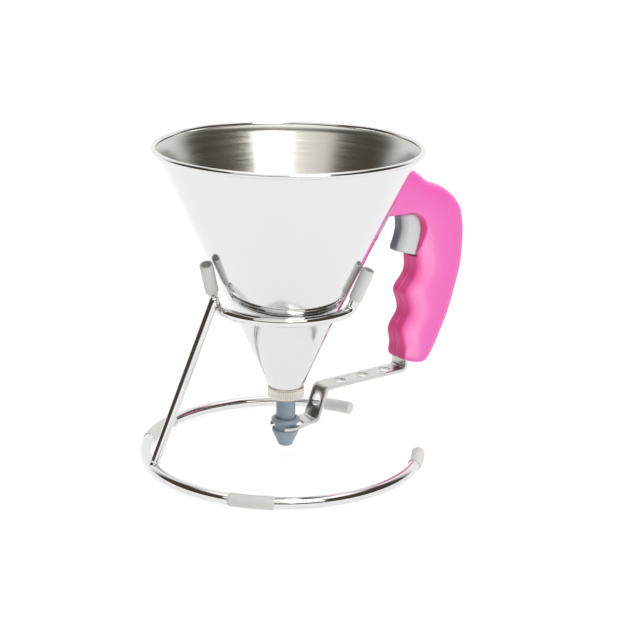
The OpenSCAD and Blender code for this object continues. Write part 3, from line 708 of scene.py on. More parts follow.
def wire(node_name, points, radius):
    """A round wire of the stand along the points, with slightly broken edges at its ends."""
    path = Path(points)
    e = min(0.4 * radius, 0.0009)
    ends = [(0, 0.0), (0, radius - e), (e * 0.3, radius - e * 0.3), (e, radius)]
    body = [(s, radius) for s in path.at if e < s < path.length - e]
    tail = [(path.length - s, r) for s, r in reversed(ends)]
    obj = add_piece("stand_" + node_name.replace("_wire", ""), *path.turned(ends + body + tail),
                    [MATERIALS["wire"]], 40)
    dress(obj, "stand", "stand_wire", node_name)


def weld(name, centre, axis, radius, size):
    """A small uneven bead of weld round an axis."""
    axis = axis.normalized()
    x = axis.cross(Vector((0, 0, 1)) if abs(axis.z) < 0.9 else Vector((1, 0, 0))).normalized()
    y = axis.cross(x)
    rows, n = [], 48
    for i in range(n):
        a = 2 * math.pi * i / n
        wave = 1 + 0.05 * math.sin(5 * a) + 0.03 * math.sin(11 * a + 1)
        p = centre + x * (radius * wave * math.cos(a)) + y * (radius * wave * math.sin(a))
        rows.append((size * (1 + 0.12 * math.sin(3 * a)), p, (p - centre).normalized(), axis))
    obj = add_piece("weld_" + name, *rings(rows, 10)[:2], [MATERIALS["wire"]], 60)
    dress(obj, "stand", "stand_wire")


def sleeve(node_name, path, wire_radius, closed=True, plug=False):
    """A soft sleeve over a wire, all along the path. It is open or closed at the path's end; a recessed tip
    gets a darker grey end face, painted shade.
    """
    r, e, length, sides = sizes().sleeve / 2, 0.0007, path.length, 48
    hole = wire_radius + 0.00003
    lip = [(0, hole), (0, r - e), (e * 0.3, r - e * 0.3), (e, r)]
    count, marks = max(2, int(length / 0.002)), None
    outer = lip + [(length * (0.06 + 0.88 * i / count), r) for i in range(count + 1)]
    if closed:
        cap = [(e, r), (e * 0.55, r - e * 0.12), (e * 0.2, r - e * 0.42), (0.00002, r - e),
               (0, r - 1.3 * e)]
        cap += [(0.0003, r - 1.5 * e), (0.0005, r - 1.8 * e), (0.0005, 0)] if plug \
            else [(0.00012, r * 0.5), (0.00018, 0)]
        bottom = length - 0.0016
        hollow = [(bottom, 0)] + [(bottom - bottom * (i / 10), hole) for i in range(10)] + [(0, hole)]
        verts, faces = path.turned(outer + [(length - d, q) for d, q in cap], sides)
        inside, inner_faces = path.turned(hollow, sides)
        # the end face of a recessed tip takes the second material, a darker grey that is painted shade
        marks = [0] * (len(faces) - 2 * sides) + [int(plug)] * (2 * sides) + [0] * len(inner_faces)
        faces += [[len(verts) + k for k in f] for f in inner_faces]
        verts += inside
    else:
        outer += [(length - d, q) for d, q in reversed(lip)]
        inner = [(length - length * (i / 12), hole) for i in range(1, 12)]
        verts, faces = path.turned(outer + inner, sides, closed=True)
    materials = [MATERIALS["sleeve"], MATERIALS["plug"]][:1 + plug]
    dress(add_piece("soft_" + node_name, verts, faces, materials, 45, marks), "stand", "sleeve", node_name)


class DISPENSER_OT_stand(bpy.types.Operator):
    """Makes the base ring, the cradle and the two legs of the wire stand"""
    bl_idname = "dispenser.stand"
    bl_label = "Wire Stand"

    def execute(self, context):
        s = sizes()
        ring_r, cradle_r, leg_r = s.ring_wire / 2, s.cradle_wire / 2, s.leg_wire / 2
        end = math.degrees(WIRE_END / RING_R)
        wire("base_ring", arc_points(ring_centre(), RING_R, FAR_TIP + end, 360 + NEAR_TIP - end), ring_r)
        prongs, rear_foot = prong_paths()
        centre, radius = cradle_arc()

        def shorter(side):
            points = prongs[side]
            path = Path(points)
            stop = path.length - WIRE_END
            return [p for p, d in zip(points, path.at) if d < stop] + [path.find(stop)[0]]
        left, arc = shorter("left")[::-1], arc_points(centre, radius, ARC_LEFT, ARC_RIGHT)
        wire("cradle_wire", left[:-1] + arc[:-1] + shorter("right"), cradle_r)
        foot, rest = rear_foot + Vector((0, 0, 0.0012)), shorter("rear")
        rear = [foot.lerp(rest[0], i / 40) for i in range(40)] + rest
        wire("rear_leg", rear, cradle_r)

        # the left leg runs from the ring to the side of the left prong, and ends in a dome
        tip = prongs["left"][-1]
        up = (tip - prongs["left"][-5]).normalized()
        top = tip - up * (s.sleeve_length + 0.0015 + leg_r) + LEG_SIDE * (cradle_r + leg_r - 0.0001)
        foot = ring_point(LEFT_FOOT) + Vector((0, 0, 0.001))
        path = Path([foot.lerp(top, i / 40) for i in range(41)])
        dome = [(path.length + leg_r * math.sin(math.radians(a)), leg_r * math.cos(math.radians(a)))
                for a in range(0, 90, 10)] + [(path.length + leg_r, 0)]
        profile = [(0, 0), (0, leg_r)] + [(d, leg_r) for d in path.at[1:-1]] + dome
        leg = add_piece("stand_left_leg", *path.turned(profile), [MATERIALS["wire"]], 60)
        dress(leg, "stand", "stand_wire", "left_leg")

        way, side, rear_way = (top - foot).normalized(), LEG_SIDE.normalized(), rear[5] - rear[0]
        weld("left_foot", foot + way * (ring_r - 0.0002), way, leg_r - 0.0001, 0.00055)
        weld("rear_foot", rear_foot + rear_way.normalized() * (ring_r + 0.0003), rear_way,
             cradle_r - 0.0001, 0.00055)
        weld("left_top", top - side * leg_r, side, 0.0009, 0.0006)
        pieces = [obj for obj in bpy.data.objects if obj.name.startswith(("stand_", "weld_"))]
        for name, state in (("Wire", "INCLUDE"), ("All But Wire", "EXCLUDE")):
            group = bpy.data.collections[name]
            for obj in pieces:
                group.objects.link(obj)
            for member in group.collection_objects:
                member.light_linking.link_state = state
        return {"FINISHED"}


class DISPENSER_OT_sleeves(bpy.types.Operator):
    """Makes the soft sleeves on the ring and on the prongs"""
    bl_idname = "dispenser.sleeves"
    bl_label = "Soft Sleeves"

    def execute(self, context):
        s = sizes()
        for name, start, stop, closed in (
                ("foot_sleeve_front", -147.3, -129.1, False), ("foot_sleeve_left", 110.6, 134.7, False),
                ("end_sleeve_near", NEAR_TIP - 14.8, NEAR_TIP, True),
                ("end_sleeve_far", FAR_TIP + 12.5, FAR_TIP, True)):
            path = Path(arc_points(ring_centre(), RING_R, start, stop, 0.5))
            sleeve(name, path, s.ring_wire / 2, closed)
        for side, points in prong_paths()[0].items():
            tip, last = points[-1], points[-2]
            start = tip + (last - tip).normalized() * s.sleeve_length
            path = Path([start.lerp(tip, i / 20) for i in range(21)])
            sleeve("prong_sleeve_" + side, path, s.cradle_wire / 2, plug=True)
        return {"FINISHED"}


# --- funnel and valve -----------------------------------------------------------------------------

class DISPENSER_OT_funnel(bpy.types.Operator):
    """Makes the cone with its rolled rim"""
    bl_idname = "dispenser.funnel"
    bl_label = "Funnel"

    def execute(self, context):
        s = sizes()
        bead_r = s.bead / 2
        bead_z, bead_x = CONE_TOP - bead_r, s.rim_radius - bead_r
        wall = s.cone_wall / math.cos(s.cone_angle)
        rows, curl = 40, 32

        def side(start, stop, inset):
            """The cone's wall as a line of (radius, height), set in from the outside."""
            heights = [start + (stop - start) * i / rows for i in range(rows + 1)]
            return [(cone_radius(z) - inset, z) for z in heights]
        profile = side(CONE_FOOT, bead_z - 0.0011, 0)
        # the curl of the rim, from its lip under the bead over the top to the inside
        lip, end = -118, 196
        for i in range(curl + 1):
            a = math.radians(lip + (end - lip) * i / curl)
            profile.append((bead_x + bead_r * math.cos(a), bead_z + bead_r * math.sin(a)))
        rim_end = len(profile)
        profile += side(bead_z - 0.0018, CONE_FOOT, wall)
        verts, faces, bands = spun(profile, 256)
        marks = [int(rim_end - 1 <= b < len(profile) - 1) for b in bands]
        obj = add_piece("cone_and_rim", verts, faces, [MATERIALS["cone"], MATERIALS["inside"]], 38, marks)
        dress(obj, "funnel", "funnel_steel", "funnel_cone")
        return {"FINISHED"}


class DISPENSER_OT_valve(bpy.types.Operator):
    """Makes the collar nut, the valve tube and the sliding nozzle"""
    bl_idname = "dispenser.valve"
    bl_label = "Valve"

    def execute(self, context):
        # the nut's ribs: each is a rounded ridge between two straight grooves, which fade out at both rims
        z0, z1 = (v.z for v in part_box("collar_nut"))
        r, bore, inner, deep = span("collar_nut", 0) / 2, 0.00556, 0.00845, 0.00055
        ribs, points_per_rib = sizes().nut_ribs, 8

        def ribbed(row, a):
            q = row[0] - row[2] * (1 - min(1.0, 1.15 * abs(math.sin(ribs * a / 2))))
            return AXIS.x + q * math.cos(a), AXIS.y + q * math.sin(a), row[1]
        rows = [(r - 0.0006, z0, 0), (r - 0.00012, z0 + 0.0005, deep), (r, z0 + 0.0008, deep),
                (r, z1 - 0.0008, deep), (r - 0.00012, z1 - 0.0005, deep), (r - 0.0006, z1, 0),
                (inner, z1, 0), (inner - 0.0002, z0 + 0.0012, 0), (bore, z0 + 0.0012, 0), (bore, z0, 0)]
        nut = add_piece("ribbed_collar_nut", *rings(rows, ribs * points_per_rib, ribbed)[:2],
                        [MATERIALS["nut"]], 32)
        dress(nut, "nut", "nut_steel", "collar_nut")

        # the tube, with its collar, the groove for its ring and three ports
        t0, t1 = (v.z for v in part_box("valve_tube"))
        tube_r, bore_r, collar_r, groove_r, collar_z = 0.00546, 0.004, 0.0081, 0.00466, t1 - 0.0013
        ring_z, ring_half = middle("tube_o_ring", 2), 0.00042
        profile = [(bore_r, t0), (tube_r, t0), (tube_r, ring_z - ring_half), (groove_r, ring_z - ring_half),
                   (groove_r, ring_z + ring_half), (tube_r, ring_z + ring_half), (tube_r, collar_z),
                   (collar_r, collar_z), (collar_r, t1), (bore_r, t1)]
        verts, faces, _ = spun(rounded(profile, [0.0002, 0.0003] + [0.0001] * 4 + [0.0002] * 4), 96)
        tube = add_piece("valve_tube_body", verts, faces, [MATERIALS["valve"]], 35)
        start = Vector((AXIS.x, AXIS.y, t0 + 0.0016))
        ports = []
        for a in (30, 150, 270):
            way = Vector((math.cos(math.radians(a)), math.sin(math.radians(a)), 0))
            ports.append(rod("port_%d" % a, start + way * 0.002, start + way * 0.009, 0.0011, 32))
        cut(tube, ports)
        tidy_mesh(tube, 35)
        dress(tube, "funnel", "valve_plastic", "valve_tube")

        # the nozzle: its outline in millimetres, and how far each corner is rounded
        n0, n1 = (v.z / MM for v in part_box("nozzle_slider"))
        outline = [(3.0, n0, 0.15), (3.6, n0, 0.3), (4.15, n0 + 0.35, 0.3), (4.4, n0 + 1.1, 0.5),
                   (7.6, n0 + 8.4, 0.3), (7.7, n0 + 8.6, 0.3), (7.7, n0 + 9.8, 0.3), (7.5, n0 + 10, 0.2),
                   (6.35, n0 + 10, 0.25), (6.35, n0 + 14.2, 0.25), (8.0, n0 + 14.2, 0.2),
                   (8.2, n0 + 14.4, 0.3), (8.2, n1 - 0.8, 0.6), (7.4, n1, 0.6), (6.1, n1, 0.2),
                   (5.52, n1 - 0.5, 0.3), (5.52, n0 + 9.1, 0.1), (6.5, n0 + 9.1, 0.1),
                   (6.5, n0 + 7.5, 0.1), (3.0, n0 + 1.6, 0.1)]
        profile = rounded([(x, z) for x, z, _ in outline], [turn for _, _, turn in outline])
        verts, faces, _ = spun([(x * MM, z * MM) for x, z in profile], 128)
        nozzle = add_piece("sliding_nozzle", verts, faces, [MATERIALS["valve"]], 40)
        dress(nozzle, "nozzle", "valve_plastic", "nozzle_slider")
        return {"FINISHED"}


# --- handle and trigger ---------------------------------------------------------------------------
# Each row is a slice of the moulding from the finger side to the back of the hand, in millimetres from
# the grip's reference point: finger side x and z, back x and z, how much thinner it is there, and half
# the width of the finger side.
GRIP_ROWS = [
    (1.4, -77.2, 15.5, -80.6, 3.7, 5.5), (-0.9, -75.4, 18.6, -80, 1.3, 7.6),
    (-1.6, -72.6, 21.2, -77.4, 0.3, 8.4), (-1.5, -67.2, 25.2, -71.4, 0, 7.6),
    (-3.6, -58.6, 29.4, -63.2, 0, 6.6), (-1.8, -53.6, 32.4, -57.2, 0, 6.2),
    (1.6, -49, 34.8, -52.2, 0, 6), (2.3, -45, 36.6, -47.2, 0, 6), (1.1, -40.5, 38.4, -42, 0, 6),
    (-1, -34.7, 40.4, -35.5, 0, 6), (1, -30.5, 41.9, -30.5, 0, 6), (5, -26.2, 43.3, -25, 0, 6),
    (6.9, -21.5, 44.3, -19, 0, 6), (6.1, -12.5, 44.9, -9, 0, 6), (4.2, -4, 44.6, 1, 0, 7),
    (1.2, 3.5, 42.6, 11, 0, 8), (-2.6, 8.5, 38, 18, 0.1, 8.6), (-9, 10, 31.9, 23.3, 0.3, 9),
    (-15.5, 10, 24.5, 27.4, 0.5, 9), (-22.5, 9.5, 16.5, 30.4, 0.6, 9), (-29, 9, 8.3, 36.4, 0.7, 9),
    (-35, 8, 0, 41.7, 0.8, 9), (-40.5, 7, -8, 46.8, 0.9, 9), (-45, 6, -16.5, 52.2, 1, 9)]
TRIGGER_ROWS = [
    (-4.2, -9.4, 14, -14.8, 1.1, 2.6), (-6.3, -8.4, 15, -13.8, 0.2, 3), (-6.4, -6.4, 15.5, -10.8, 0, 3.2),
    (-5.1, -3, 15.5, -5.6, 0, 3.2), (-3.7, 1.2, 15.5, 0, 0, 3.2), (-3.1, 5.4, 15.5, 5, 0, 3.2),
    (-3.4, 9.3, 15.5, 9.5, 0, 3.2), (-4, 12, 15, 12.4, 0.1, 3.2), (-3, 12.9, 14.4, 13.3, 0.9, 2.8)]
GRIP_Z = 119.1  # height of the grip's reference point
GRIP_OUT = 38.2  # its distance from the cone's wall at that height
PIVOT = (12, -63)  # the lever's pivot, x and z from the reference point
UPRIGHT = 10.1  # how far the strip's upright part stands in front of the pivot
STRIP_END = 4.5  # how far the strip's upper end stands above the pivot
# The edge of the trigger's window, x and z from the reference point.
WINDOW = [(2.6, -14.5), (5, -13.3), (6.6, -9), (7.9, -4.2), (8.7, -0.4), (9.1, 2.8), (8.8, 5.8),
          (7.6, 9), (5.4, 11.8), (2.4, 13.8), (-1, 14.5)]


def grip_x():
    """Distance in millimetres from the funnel's axis to the grip's reference point."""
    return cone_radius(GRIP_Z * MM) / MM + GRIP_OUT


def slice_points(width, half, front, crown):
    """One slice in millimetres: distance from the finger side and half thickness there."""
    low = min(13, 0.38 * width)
    round_r = min(0.95 * half, 0.42 * width)
    out = [(0, 0.35 * front), (0, 0.7 * front), (0.12, 0.88 * front), (0.5, front)]
    for k in (0.06, 0.12, 0.2, 0.3, 0.45, 0.6, 0.8, 1):
        swell = math.sin(math.radians(90 * k ** 0.8))
        out.append((0.5 + k * (low - 0.5), front + (half - front) * swell))
    straight = width - round_r - low
    out += [(low + straight * k, half) for k in (0.25, 0.5, 0.75)]
    for a in (0, 8, 16, 24, 32, 40, 48, 56, 64, 72, 80, 86):
        a = math.radians(a)
        out.append((width - round_r + round_r * math.sin(a), half * math.cos(a)))

    # the broad sides are slightly crowned, highest in their middle
    def crowned(d, t):
        return t - crown * min(1, abs(d / width - 0.5) / 0.35) ** 2 * min(1, t / half) ** 4
    return [(d, crowned(d, t)) for d, t in out]


def moulding(name, rows, half, inset, steps, crown=1.1):
    """A solid lofted through the rows, smaller all round by the inset in millimetres."""
    verts, m = [], 0
    slices = smooth_rows(rows, steps)
    for fx, fz, bx, bz, less, front in slices:
        p, q = Vector((grip_x() + fx, GRIP_Z + fz)), Vector((grip_x() + bx, GRIP_Z + bz))
        width = (q - p).length
        d = (q - p) / width
        h = slice_points(width - 2 * inset, half / MM - less - inset, max(front - inset, 2), crown)
        for s, y in [(s, -y) for s, y in h] + h[::-1]:
            verts.append(point(p.x + d.x * (s + inset), y, p.y + d.y * (s + inset)))
        m = 2 * len(h)
    faces = [(i + j, i + m + j, i + m + (j + 1) % m, i + (j + 1) % m)
             for i in range(0, len(verts) - m, m) for j in range(m)]
    faces += [list(range(m)), list(range(len(verts) - 1, len(verts) - m - 1, -1))]
    return add_piece(name, verts, faces, [], 60)


def grip_point(x, y, z):
    """A point given in millimetres from the grip's reference point."""
    return point(grip_x() + x, y, GRIP_Z + z)


def grip_outline(points):
    return [tuple(grip_point(x, 0, z).xz) for x, z in points]


def flare(name, outline, y0, grow0, y1, grow1):
    """Like a slab, with its forward edge moved on by a different amount at each end, in millimetres."""
    n, front = len(outline), max(x for x, _ in outline)
    verts = []
    for y, grow in ((y0, grow0), (y1, grow1)):
        for x, z in outline:
            verts.append((x + grow * MM * max(0.0, 1 - (front - x) / 0.009), y, z))
    faces = [list(range(n)), list(range(2 * n - 1, n - 1, -1))]
    for i in range(n):
        faces += [(i, (i + 1) % n, n + (i + 1) % n), (i, n + (i + 1) % n, n + i)]
    return add_piece(name, verts, faces, [], 30)


def fitting_cutters(side):
    """What is taken out of each half of the handle: the other half, and room for the trigger, fingers, cone
    and strip."""
    y, room, far, overlap, gap = AXIS.y, sizes().trigger_half + 0.0003, 0.05, 0.00004, 0.00012
    y0, y1 = (y - overlap, y + far) if side < 0 else (y - far, y + overlap)
    foot, top = CONE_FOOT, 0.2
    v, f, _ = spun([(0, foot), (cone_radius(foot) + gap, foot), (cone_radius(top) + gap, top), (0, top)], 256)
    upright = grip_x() + PIVOT[0] - UPRIGHT
    return [
        block("c_half", (-0.05, y0, 0.0), (0.2, y1, 0.25)),
        slab("c_room", grip_outline([(-6, -9.6), (17, -16.4), (21, -15), (21, 16), (-4.5, 16), (-6, 14.5)]),
             y - room, y + room),
        slab("c_window", grip_outline([(-80, -14.5)] + WINDOW + [(-80, 14.5)]), y - 0.03, y + 0.03),
        add_piece("c_cone", v, f, [], 30),
        block("c_slot", point(upright - 2.0, -6.75, 20), point(upright + 2.2, 6.75, GRIP_Z - 56.5))]


class DISPENSER_OT_handle(bpy.types.Operator):
    """Makes the two moulded halves of the handle"""
    bl_idname = "dispenser.handle"
    bl_label = "Handle"

    def execute(self, context):
        s = sizes()
        window = [(-40, -14.3)] + WINDOW[:-1] + [(-1, 14.3), (-40, 14.3)]
        for side, name, node_name in ((-1, "handle_near_half", "handle_shell_near"),
                                      (1, "handle_far_half", "handle_shell_far")):
            obj = moulding(name, GRIP_ROWS, s.grip_half, 0, 5)
            obj.data.materials.append(MATERIALS["handle"])
            hollow = moulding("c_hollow", GRIP_ROWS[2:14], s.grip_half, 2.2, 2)
            coil = block("c_coil", grip_point(20, -4.8, -4.8), grip_point(32.55, 4.8, 4.8))
            cut(obj, [hollow, coil] + fitting_cutters(side))
            cut(obj, [flare("c_flare", grip_outline(window), AXIS.y + side * 0.0052, 0.25,
                            AXIS.y + side * 0.014, 4.6)])
            if side > 0:
                # the recesses of the three screws
                cut(obj, [dowel("c_well", grip_point(x, 0, z).xz, 0.0034, AXIS.y + 0.0075, AXIS.y + 0.03)
                          for x, z in ((2, 27), (33.4, -14), (25.6, -46))])
            mould(obj, s.voxel, 5)
            bpy.data.collections["Grip"].objects.link(obj)
            dress(obj, "funnel", "handle_soft", node_name)
        return {"FINISHED"}


def coil_spring():
    """The return spring between the trigger and the back of the handle."""
    # each end's first turn is closed: it advances by little more than the wire's thickness
    wire_r, coil_r, turns, closed, steps = 0.00045, 0.00353, 7, 0.00095, 40
    low, high = (v.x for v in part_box("return_spring"))
    low, high, z = low + wire_r, high - wire_r, GRIP_Z * MM
    points = []
    for i in range(turns * steps + 1):
        t = i / steps
        open_part = (high - low - 2 * closed) * min(max(t - 1, 0), turns - 2) / (turns - 2)
        x = low + closed * (min(t, 1) + max(t - turns + 1, 0)) + open_part
        a = 2 * math.pi * t
        points.append(Vector((x, AXIS.y + coil_r * math.cos(a), z + coil_r * math.sin(a))))
    path = Path(points)
    profile = [(0, 0)] + [(d, wire_r) for d in path.at] + [(path.length, 0)]
    spring = add_piece("return_spring_coil", *path.turned(profile, 12), [MATERIALS["fitting"]], 50)
    dress(spring, "funnel", "fitting_steel", "return_spring")
    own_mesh(spring)


class DISPENSER_OT_trigger(bpy.types.Operator):
    """Makes the trigger with its arm and hub"""
    bl_idname = "dispenser.trigger"
    bl_label = "Trigger"

    def execute(self, context):
        y, (px, pz) = AXIS.y, PIVOT
        pad = moulding("trigger_pad_and_arm", TRIGGER_ROWS, sizes().trigger_half, 0, 6, 0.15)
        pad.data.materials.append(MATERIALS["trigger"])
        arm = slab("c_arm", grip_outline([(8.4, -8), (16, -8), (17.5, -40), (17, -63), (7, -63), (8.5, -46),
                                          (10.4, -27), (10.4, -18)]), y - 0.004, y + 0.004)
        centre = grip_point(px, 0, pz).xz
        hub = dowel("c_hub", centre, 0.0055, y - 0.005, y + 0.005)
        foot = block("c_foot", grip_point(px - UPRIGHT + 0.9, -5, pz - 8), grip_point(px, 5, pz + STRIP_END))
        cut(pad, [arm, hub, foot], join=True)
        mould(pad, 0.0004, 3)
        # the spring's seat leans so that it lies flat on the coil when the trigger is squeezed
        lean, seat = math.radians(3), grip_point(15.25, 0, 0)
        way = Vector((math.cos(lean), 0, math.sin(lean)))
        cut(pad, [dowel("c_bore", centre, 0.00322, y - 0.01, y + 0.01),
                  rod("c_seat", seat, seat + way * 0.003, 0.0046, 48)])
        cut(pad, [rod("c_peg", grip_point(14.2, 0, 0), grip_point(18.3, 0, 0), 0.0024, 32, 0.0004)],
            join=True)
        tidy_mesh(pad, 50)
        dress(pad, "lever", "trigger_plastic", "trigger")
        coil_spring()
        return {"FINISHED"}


# --- lever strip ----------------------------------------------------------------------------------

STRIP_START = -6  # x of the fork's end, in millimetres from the funnel's axis
STRIP_LEVEL = 36.7  # height of the strip's level part between the nut and the handle


def strip_route():
    """The strip's middle line and its length, in millimetres. The line is a list of straights and bends: the
    distance at which each starts, its length, and its first point, direction, bend radius and turn."""
    flange_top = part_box("nozzle_slider")[0].z / MM + 10
    fork_z = flange_top + 0.9 + sizes().strip_thickness / MM / 2
    upright = grip_x() + PIVOT[0] - UPRIGHT
    corners = [Vector(p) for p in ((STRIP_START, fork_z), (18.5, fork_z), (25.6, STRIP_LEVEL),
                                   (upright, STRIP_LEVEL), (upright, GRIP_Z + PIVOT[1] + STRIP_END))]
    out, at, start = [], 0.0, corners[0]
    for a, b, c, r in zip(corners, corners[1:], corners[2:], (2.6, 2.6, 3.0)):
        u, v = (b - a).normalized(), (c - b).normalized()
        turn = u.angle_signed(v)
        cutback = r * math.tan(abs(turn) / 2)
        p = b - u * cutback
        for length, piece in (((p - start).length, (start, u, 0, 0)), (abs(turn) * r, (p, u, r, -turn))):
            out.append((at, length, piece))
            at += length
        start = b + v * cutback
    length = (corners[-1] - start).length
    return out + [(at, length, (start, (corners[-1] - corners[-2]).normalized(), 0, 0))], at + length


def route_at(route, s):
    """Place and upward normal of the strip's middle line at distance s, in millimetres."""
    for start, length, piece in route:
        if s <= start + length + 1e-9 or piece is route[-1][2]:
            p, u, r, turn = piece
            if r == 0:
                return p + u * (s - start), Vector((-u.y, u.x))
            sign = 1 if turn > 0 else -1
            centre = p + Vector((-u.y, u.x)) * sign * r
            rot = Matrix.Rotation(sign * (s - start) / r, 2)
            w = rot @ u
            return centre + rot @ (p - centre), Vector((-w.y, w.x))


def arc(cx, cy, r, a0, a1, n):
    """Points of a flat arc between two angles in degrees."""
    angles = [math.radians(a0 + (a1 - a0) * i / n) for i in range(n + 1)]
    return [(cx + r * math.cos(a), cy + r * math.sin(a)) for a in angles]


def flat_sheet(loops, stops):
    """Points, faces and outer edges of a flat sheet: an outline with holes, cut across at the stops."""
    curve = bpy.data.curves.new("strip_flat", "CURVE")
    curve.dimensions, curve.fill_mode = "2D", "BOTH"
    for points in loops:
        spline = curve.splines.new("POLY")
        spline.points.add(len(points) - 1)
        for q, (x, y) in zip(spline.points, points):
            q.co = (x, y, 0, 1)
        spline.use_cyclic_u = True
    flat = bpy.data.objects.new("strip_flat", curve)
    bpy.context.scene.collection.objects.link(flat)
    mesh = bpy.data.meshes.new_from_object(flat.evaluated_get(bpy.context.evaluated_depsgraph_get()))
    bpy.data.objects.remove(flat)
    bm = bmesh.new()
    bm.from_mesh(mesh)
    bpy.data.meshes.remove(mesh)
    bmesh.ops.remove_doubles(bm, verts=bm.verts, dist=1e-5)
    bmesh.ops.dissolve_limit(bm, angle_limit=0.01, verts=bm.verts, edges=bm.edges)
    for x in stops:
        bmesh.ops.bisect_plane(bm, geom=bm.verts[:] + bm.edges[:] + bm.faces[:], dist=1e-5,
                               plane_co=(x, 0, 0), plane_no=(1, 0, 0))
    bmesh.ops.triangulate(bm, faces=[f for f in bm.faces if len(f.verts) > 4])
    bm.verts.index_update()
    bm.normal_update()
    for f in bm.faces:
        if f.normal.z < 0:
            f.normal_flip()
    points = [v.co.copy() for v in bm.verts]
    faces = [[v.index for v in f.verts] for f in bm.faces]
    rim = [(e.link_loops[0].vert.index, e.link_loops[0].link_loop_next.vert.index)
           for e in bm.edges if len(e.link_faces) == 1]
    bm.free()
    return points, faces, rim


class DISPENSER_OT_lever(bpy.types.Operator):
    """Makes the bent lever strip with its fork and holes"""
    bl_idname = "dispenser.lever"
    bl_label = "Lever Strip"

    def execute(self, context):
        s = sizes()
        route, total = strip_route()
        w, t, end = s.strip_width / 2 / MM, s.strip_thickness / MM, total + STRIP_START
        # the flat strip: x is the distance from the funnel's axis up to the first bend, and along the strip
        # from there on
        fork_x, fork_r, slot, slot_end, corner, hole_r, rivet_r = -5.7, 9.2, 6.7, 10.0, 3, 3.5, 1.52
        tip = math.degrees(math.acos(fork_x / fork_r))
        lower = arc(0, 0, fork_r, -tip, -90, 14) + [
            (3, -fork_r + 0.3), (6.2, -w - 2.1), (9, -w - 1), (11, -w - 0.3), (13, -w)]
        outline = lower + [(end - 0.6, -w), (end, -w + 0.6), (end, w - 0.6), (end - 0.6, w)]
        outline += [(x, -y) for x, y in reversed(lower)] + [(fork_x, slot)]
        outline += arc(slot_end - corner, slot - corner, corner, 90, 0, 10)
        outline += arc(slot_end - corner, -slot + corner, corner, 0, -90, 10) + [(fork_x, -slot)]
        # three holes in the level part, one in the slope, and two for the rivets
        _, slope, level, _ = [(at, at + length) for at, length, piece in route if piece[2] == 0]
        holes = [(level[1] - 8.9 - 17 * k + STRIP_START, hole_r) for k in range(3)]
        holes.append(((slope[0] + slope[1]) / 2 + STRIP_START + 1.4, hole_r))
        holes += [(end - STRIP_END - 4.7, rivet_r), (end - STRIP_END + 1.3, rivet_r)]
        loops = [outline] + [arc(x, 0, r, 0, 352.5, 47) for x, r in holes]
        stops = [at + length * i / 12 + STRIP_START for at, length, piece in route if piece[2]
                 for i in range(13)]
        points, faces, rim = flat_sheet(loops, stops)

        # the sheet is bent along the route, once for each side
        verts = []
        for way in (1, -1):
            for v in points:
                p, n = route_at(route, v.x - STRIP_START)
                q = p + n * (way * t / 2)
                verts.append(point(q.x, v.y, q.y))
        m = len(points)
        faces += [[m + k for k in reversed(f)] for f in faces] + [(b, a, m + a, m + b) for a, b in rim]
        obj = add_piece("lever_strip_bent", verts, faces, [MATERIALS["strip"]], 30)
        bevel = obj.modifiers.new("edge", "BEVEL")
        bevel.width, bevel.segments, bevel.limit_method = 0.00022, 2, "ANGLE"
        bevel.angle_limit = math.radians(50)
        settle(obj)
        obj.data.set_sharp_from_angle(angle=math.radians(40))
        dress(obj, "lever", "strip_steel", "lever_strip")
        return {"FINISHED"}


class DISPENSER_OT_fittings(bpy.types.Operator):
    """Gives the small pieces that stay as they are their finish"""
    bl_idname = "dispenser.fittings"
    bl_label = "Small Fittings"

    def execute(self, context):
        for key, names in (("cone", ("neck_spigot",)), ("seal", ("neck_gasket", "tube_o_ring")),
                           ("valve", ("valve_plug",)), ("brass", ("pivot_bush",)),
                           ("fitting", ("handle_bracket", "handle_screws", "pivot_pin", "lever_rivets"))):
            for name in names:
                materials = frame["nodes"][name].data.materials
                if not materials:
                    materials.append(MATERIALS[key])
                for i in range(len(materials)):
                    materials[i] = MATERIALS[key]
        return {"FINISHED"}


# --- stage ----------------------------------------------------------------------------------------

TARGET = Vector((0, 0, 0.09))


def studio(turn, height, distance, target=TARGET):
    """A place round the object: turn to the right of the camera's side, in degrees, and height above it."""
    a = bpy.context.scene.dispenser_stage.heading - AIM_OFF - math.radians(turn)
    e = math.radians(height)
    way = Vector((-math.sin(a) * math.cos(e), -math.cos(a) * math.cos(e), math.sin(e)))
    return target + way * distance


def lamp(name, kind, turn, height, distance, power, target=TARGET, **settings):
    """A lamp that stands round the object and points at the target."""
    light = bpy.data.lights.new(name, kind)
    light.energy = power
    for key, value in settings.items():
        setattr(light, key, value)
    obj = bpy.data.objects.new(name, light)
    bpy.context.scene.collection.objects.link(obj)
    obj.location = studio(turn, height, distance, target)
    obj.rotation_euler = (target - obj.location).to_track_quat("-Z", "Y").to_euler()
    return obj


def softbox(name, turn, height, distance, width, tall, power, only="", colour=(1, 0.985, 0.95), **settings):
    """A soft light that shows in reflections only; it may be kept to the pieces of one collection."""
    obj = lamp(name, "AREA", turn, height, distance, power, shape="RECTANGLE", size=width, size_y=tall,
               color=colour, **settings)
    obj.visible_camera = False
    obj.visible_diffuse = False
    if only:
        obj.light_linking.receiver_collection = bpy.data.collections.new(only)


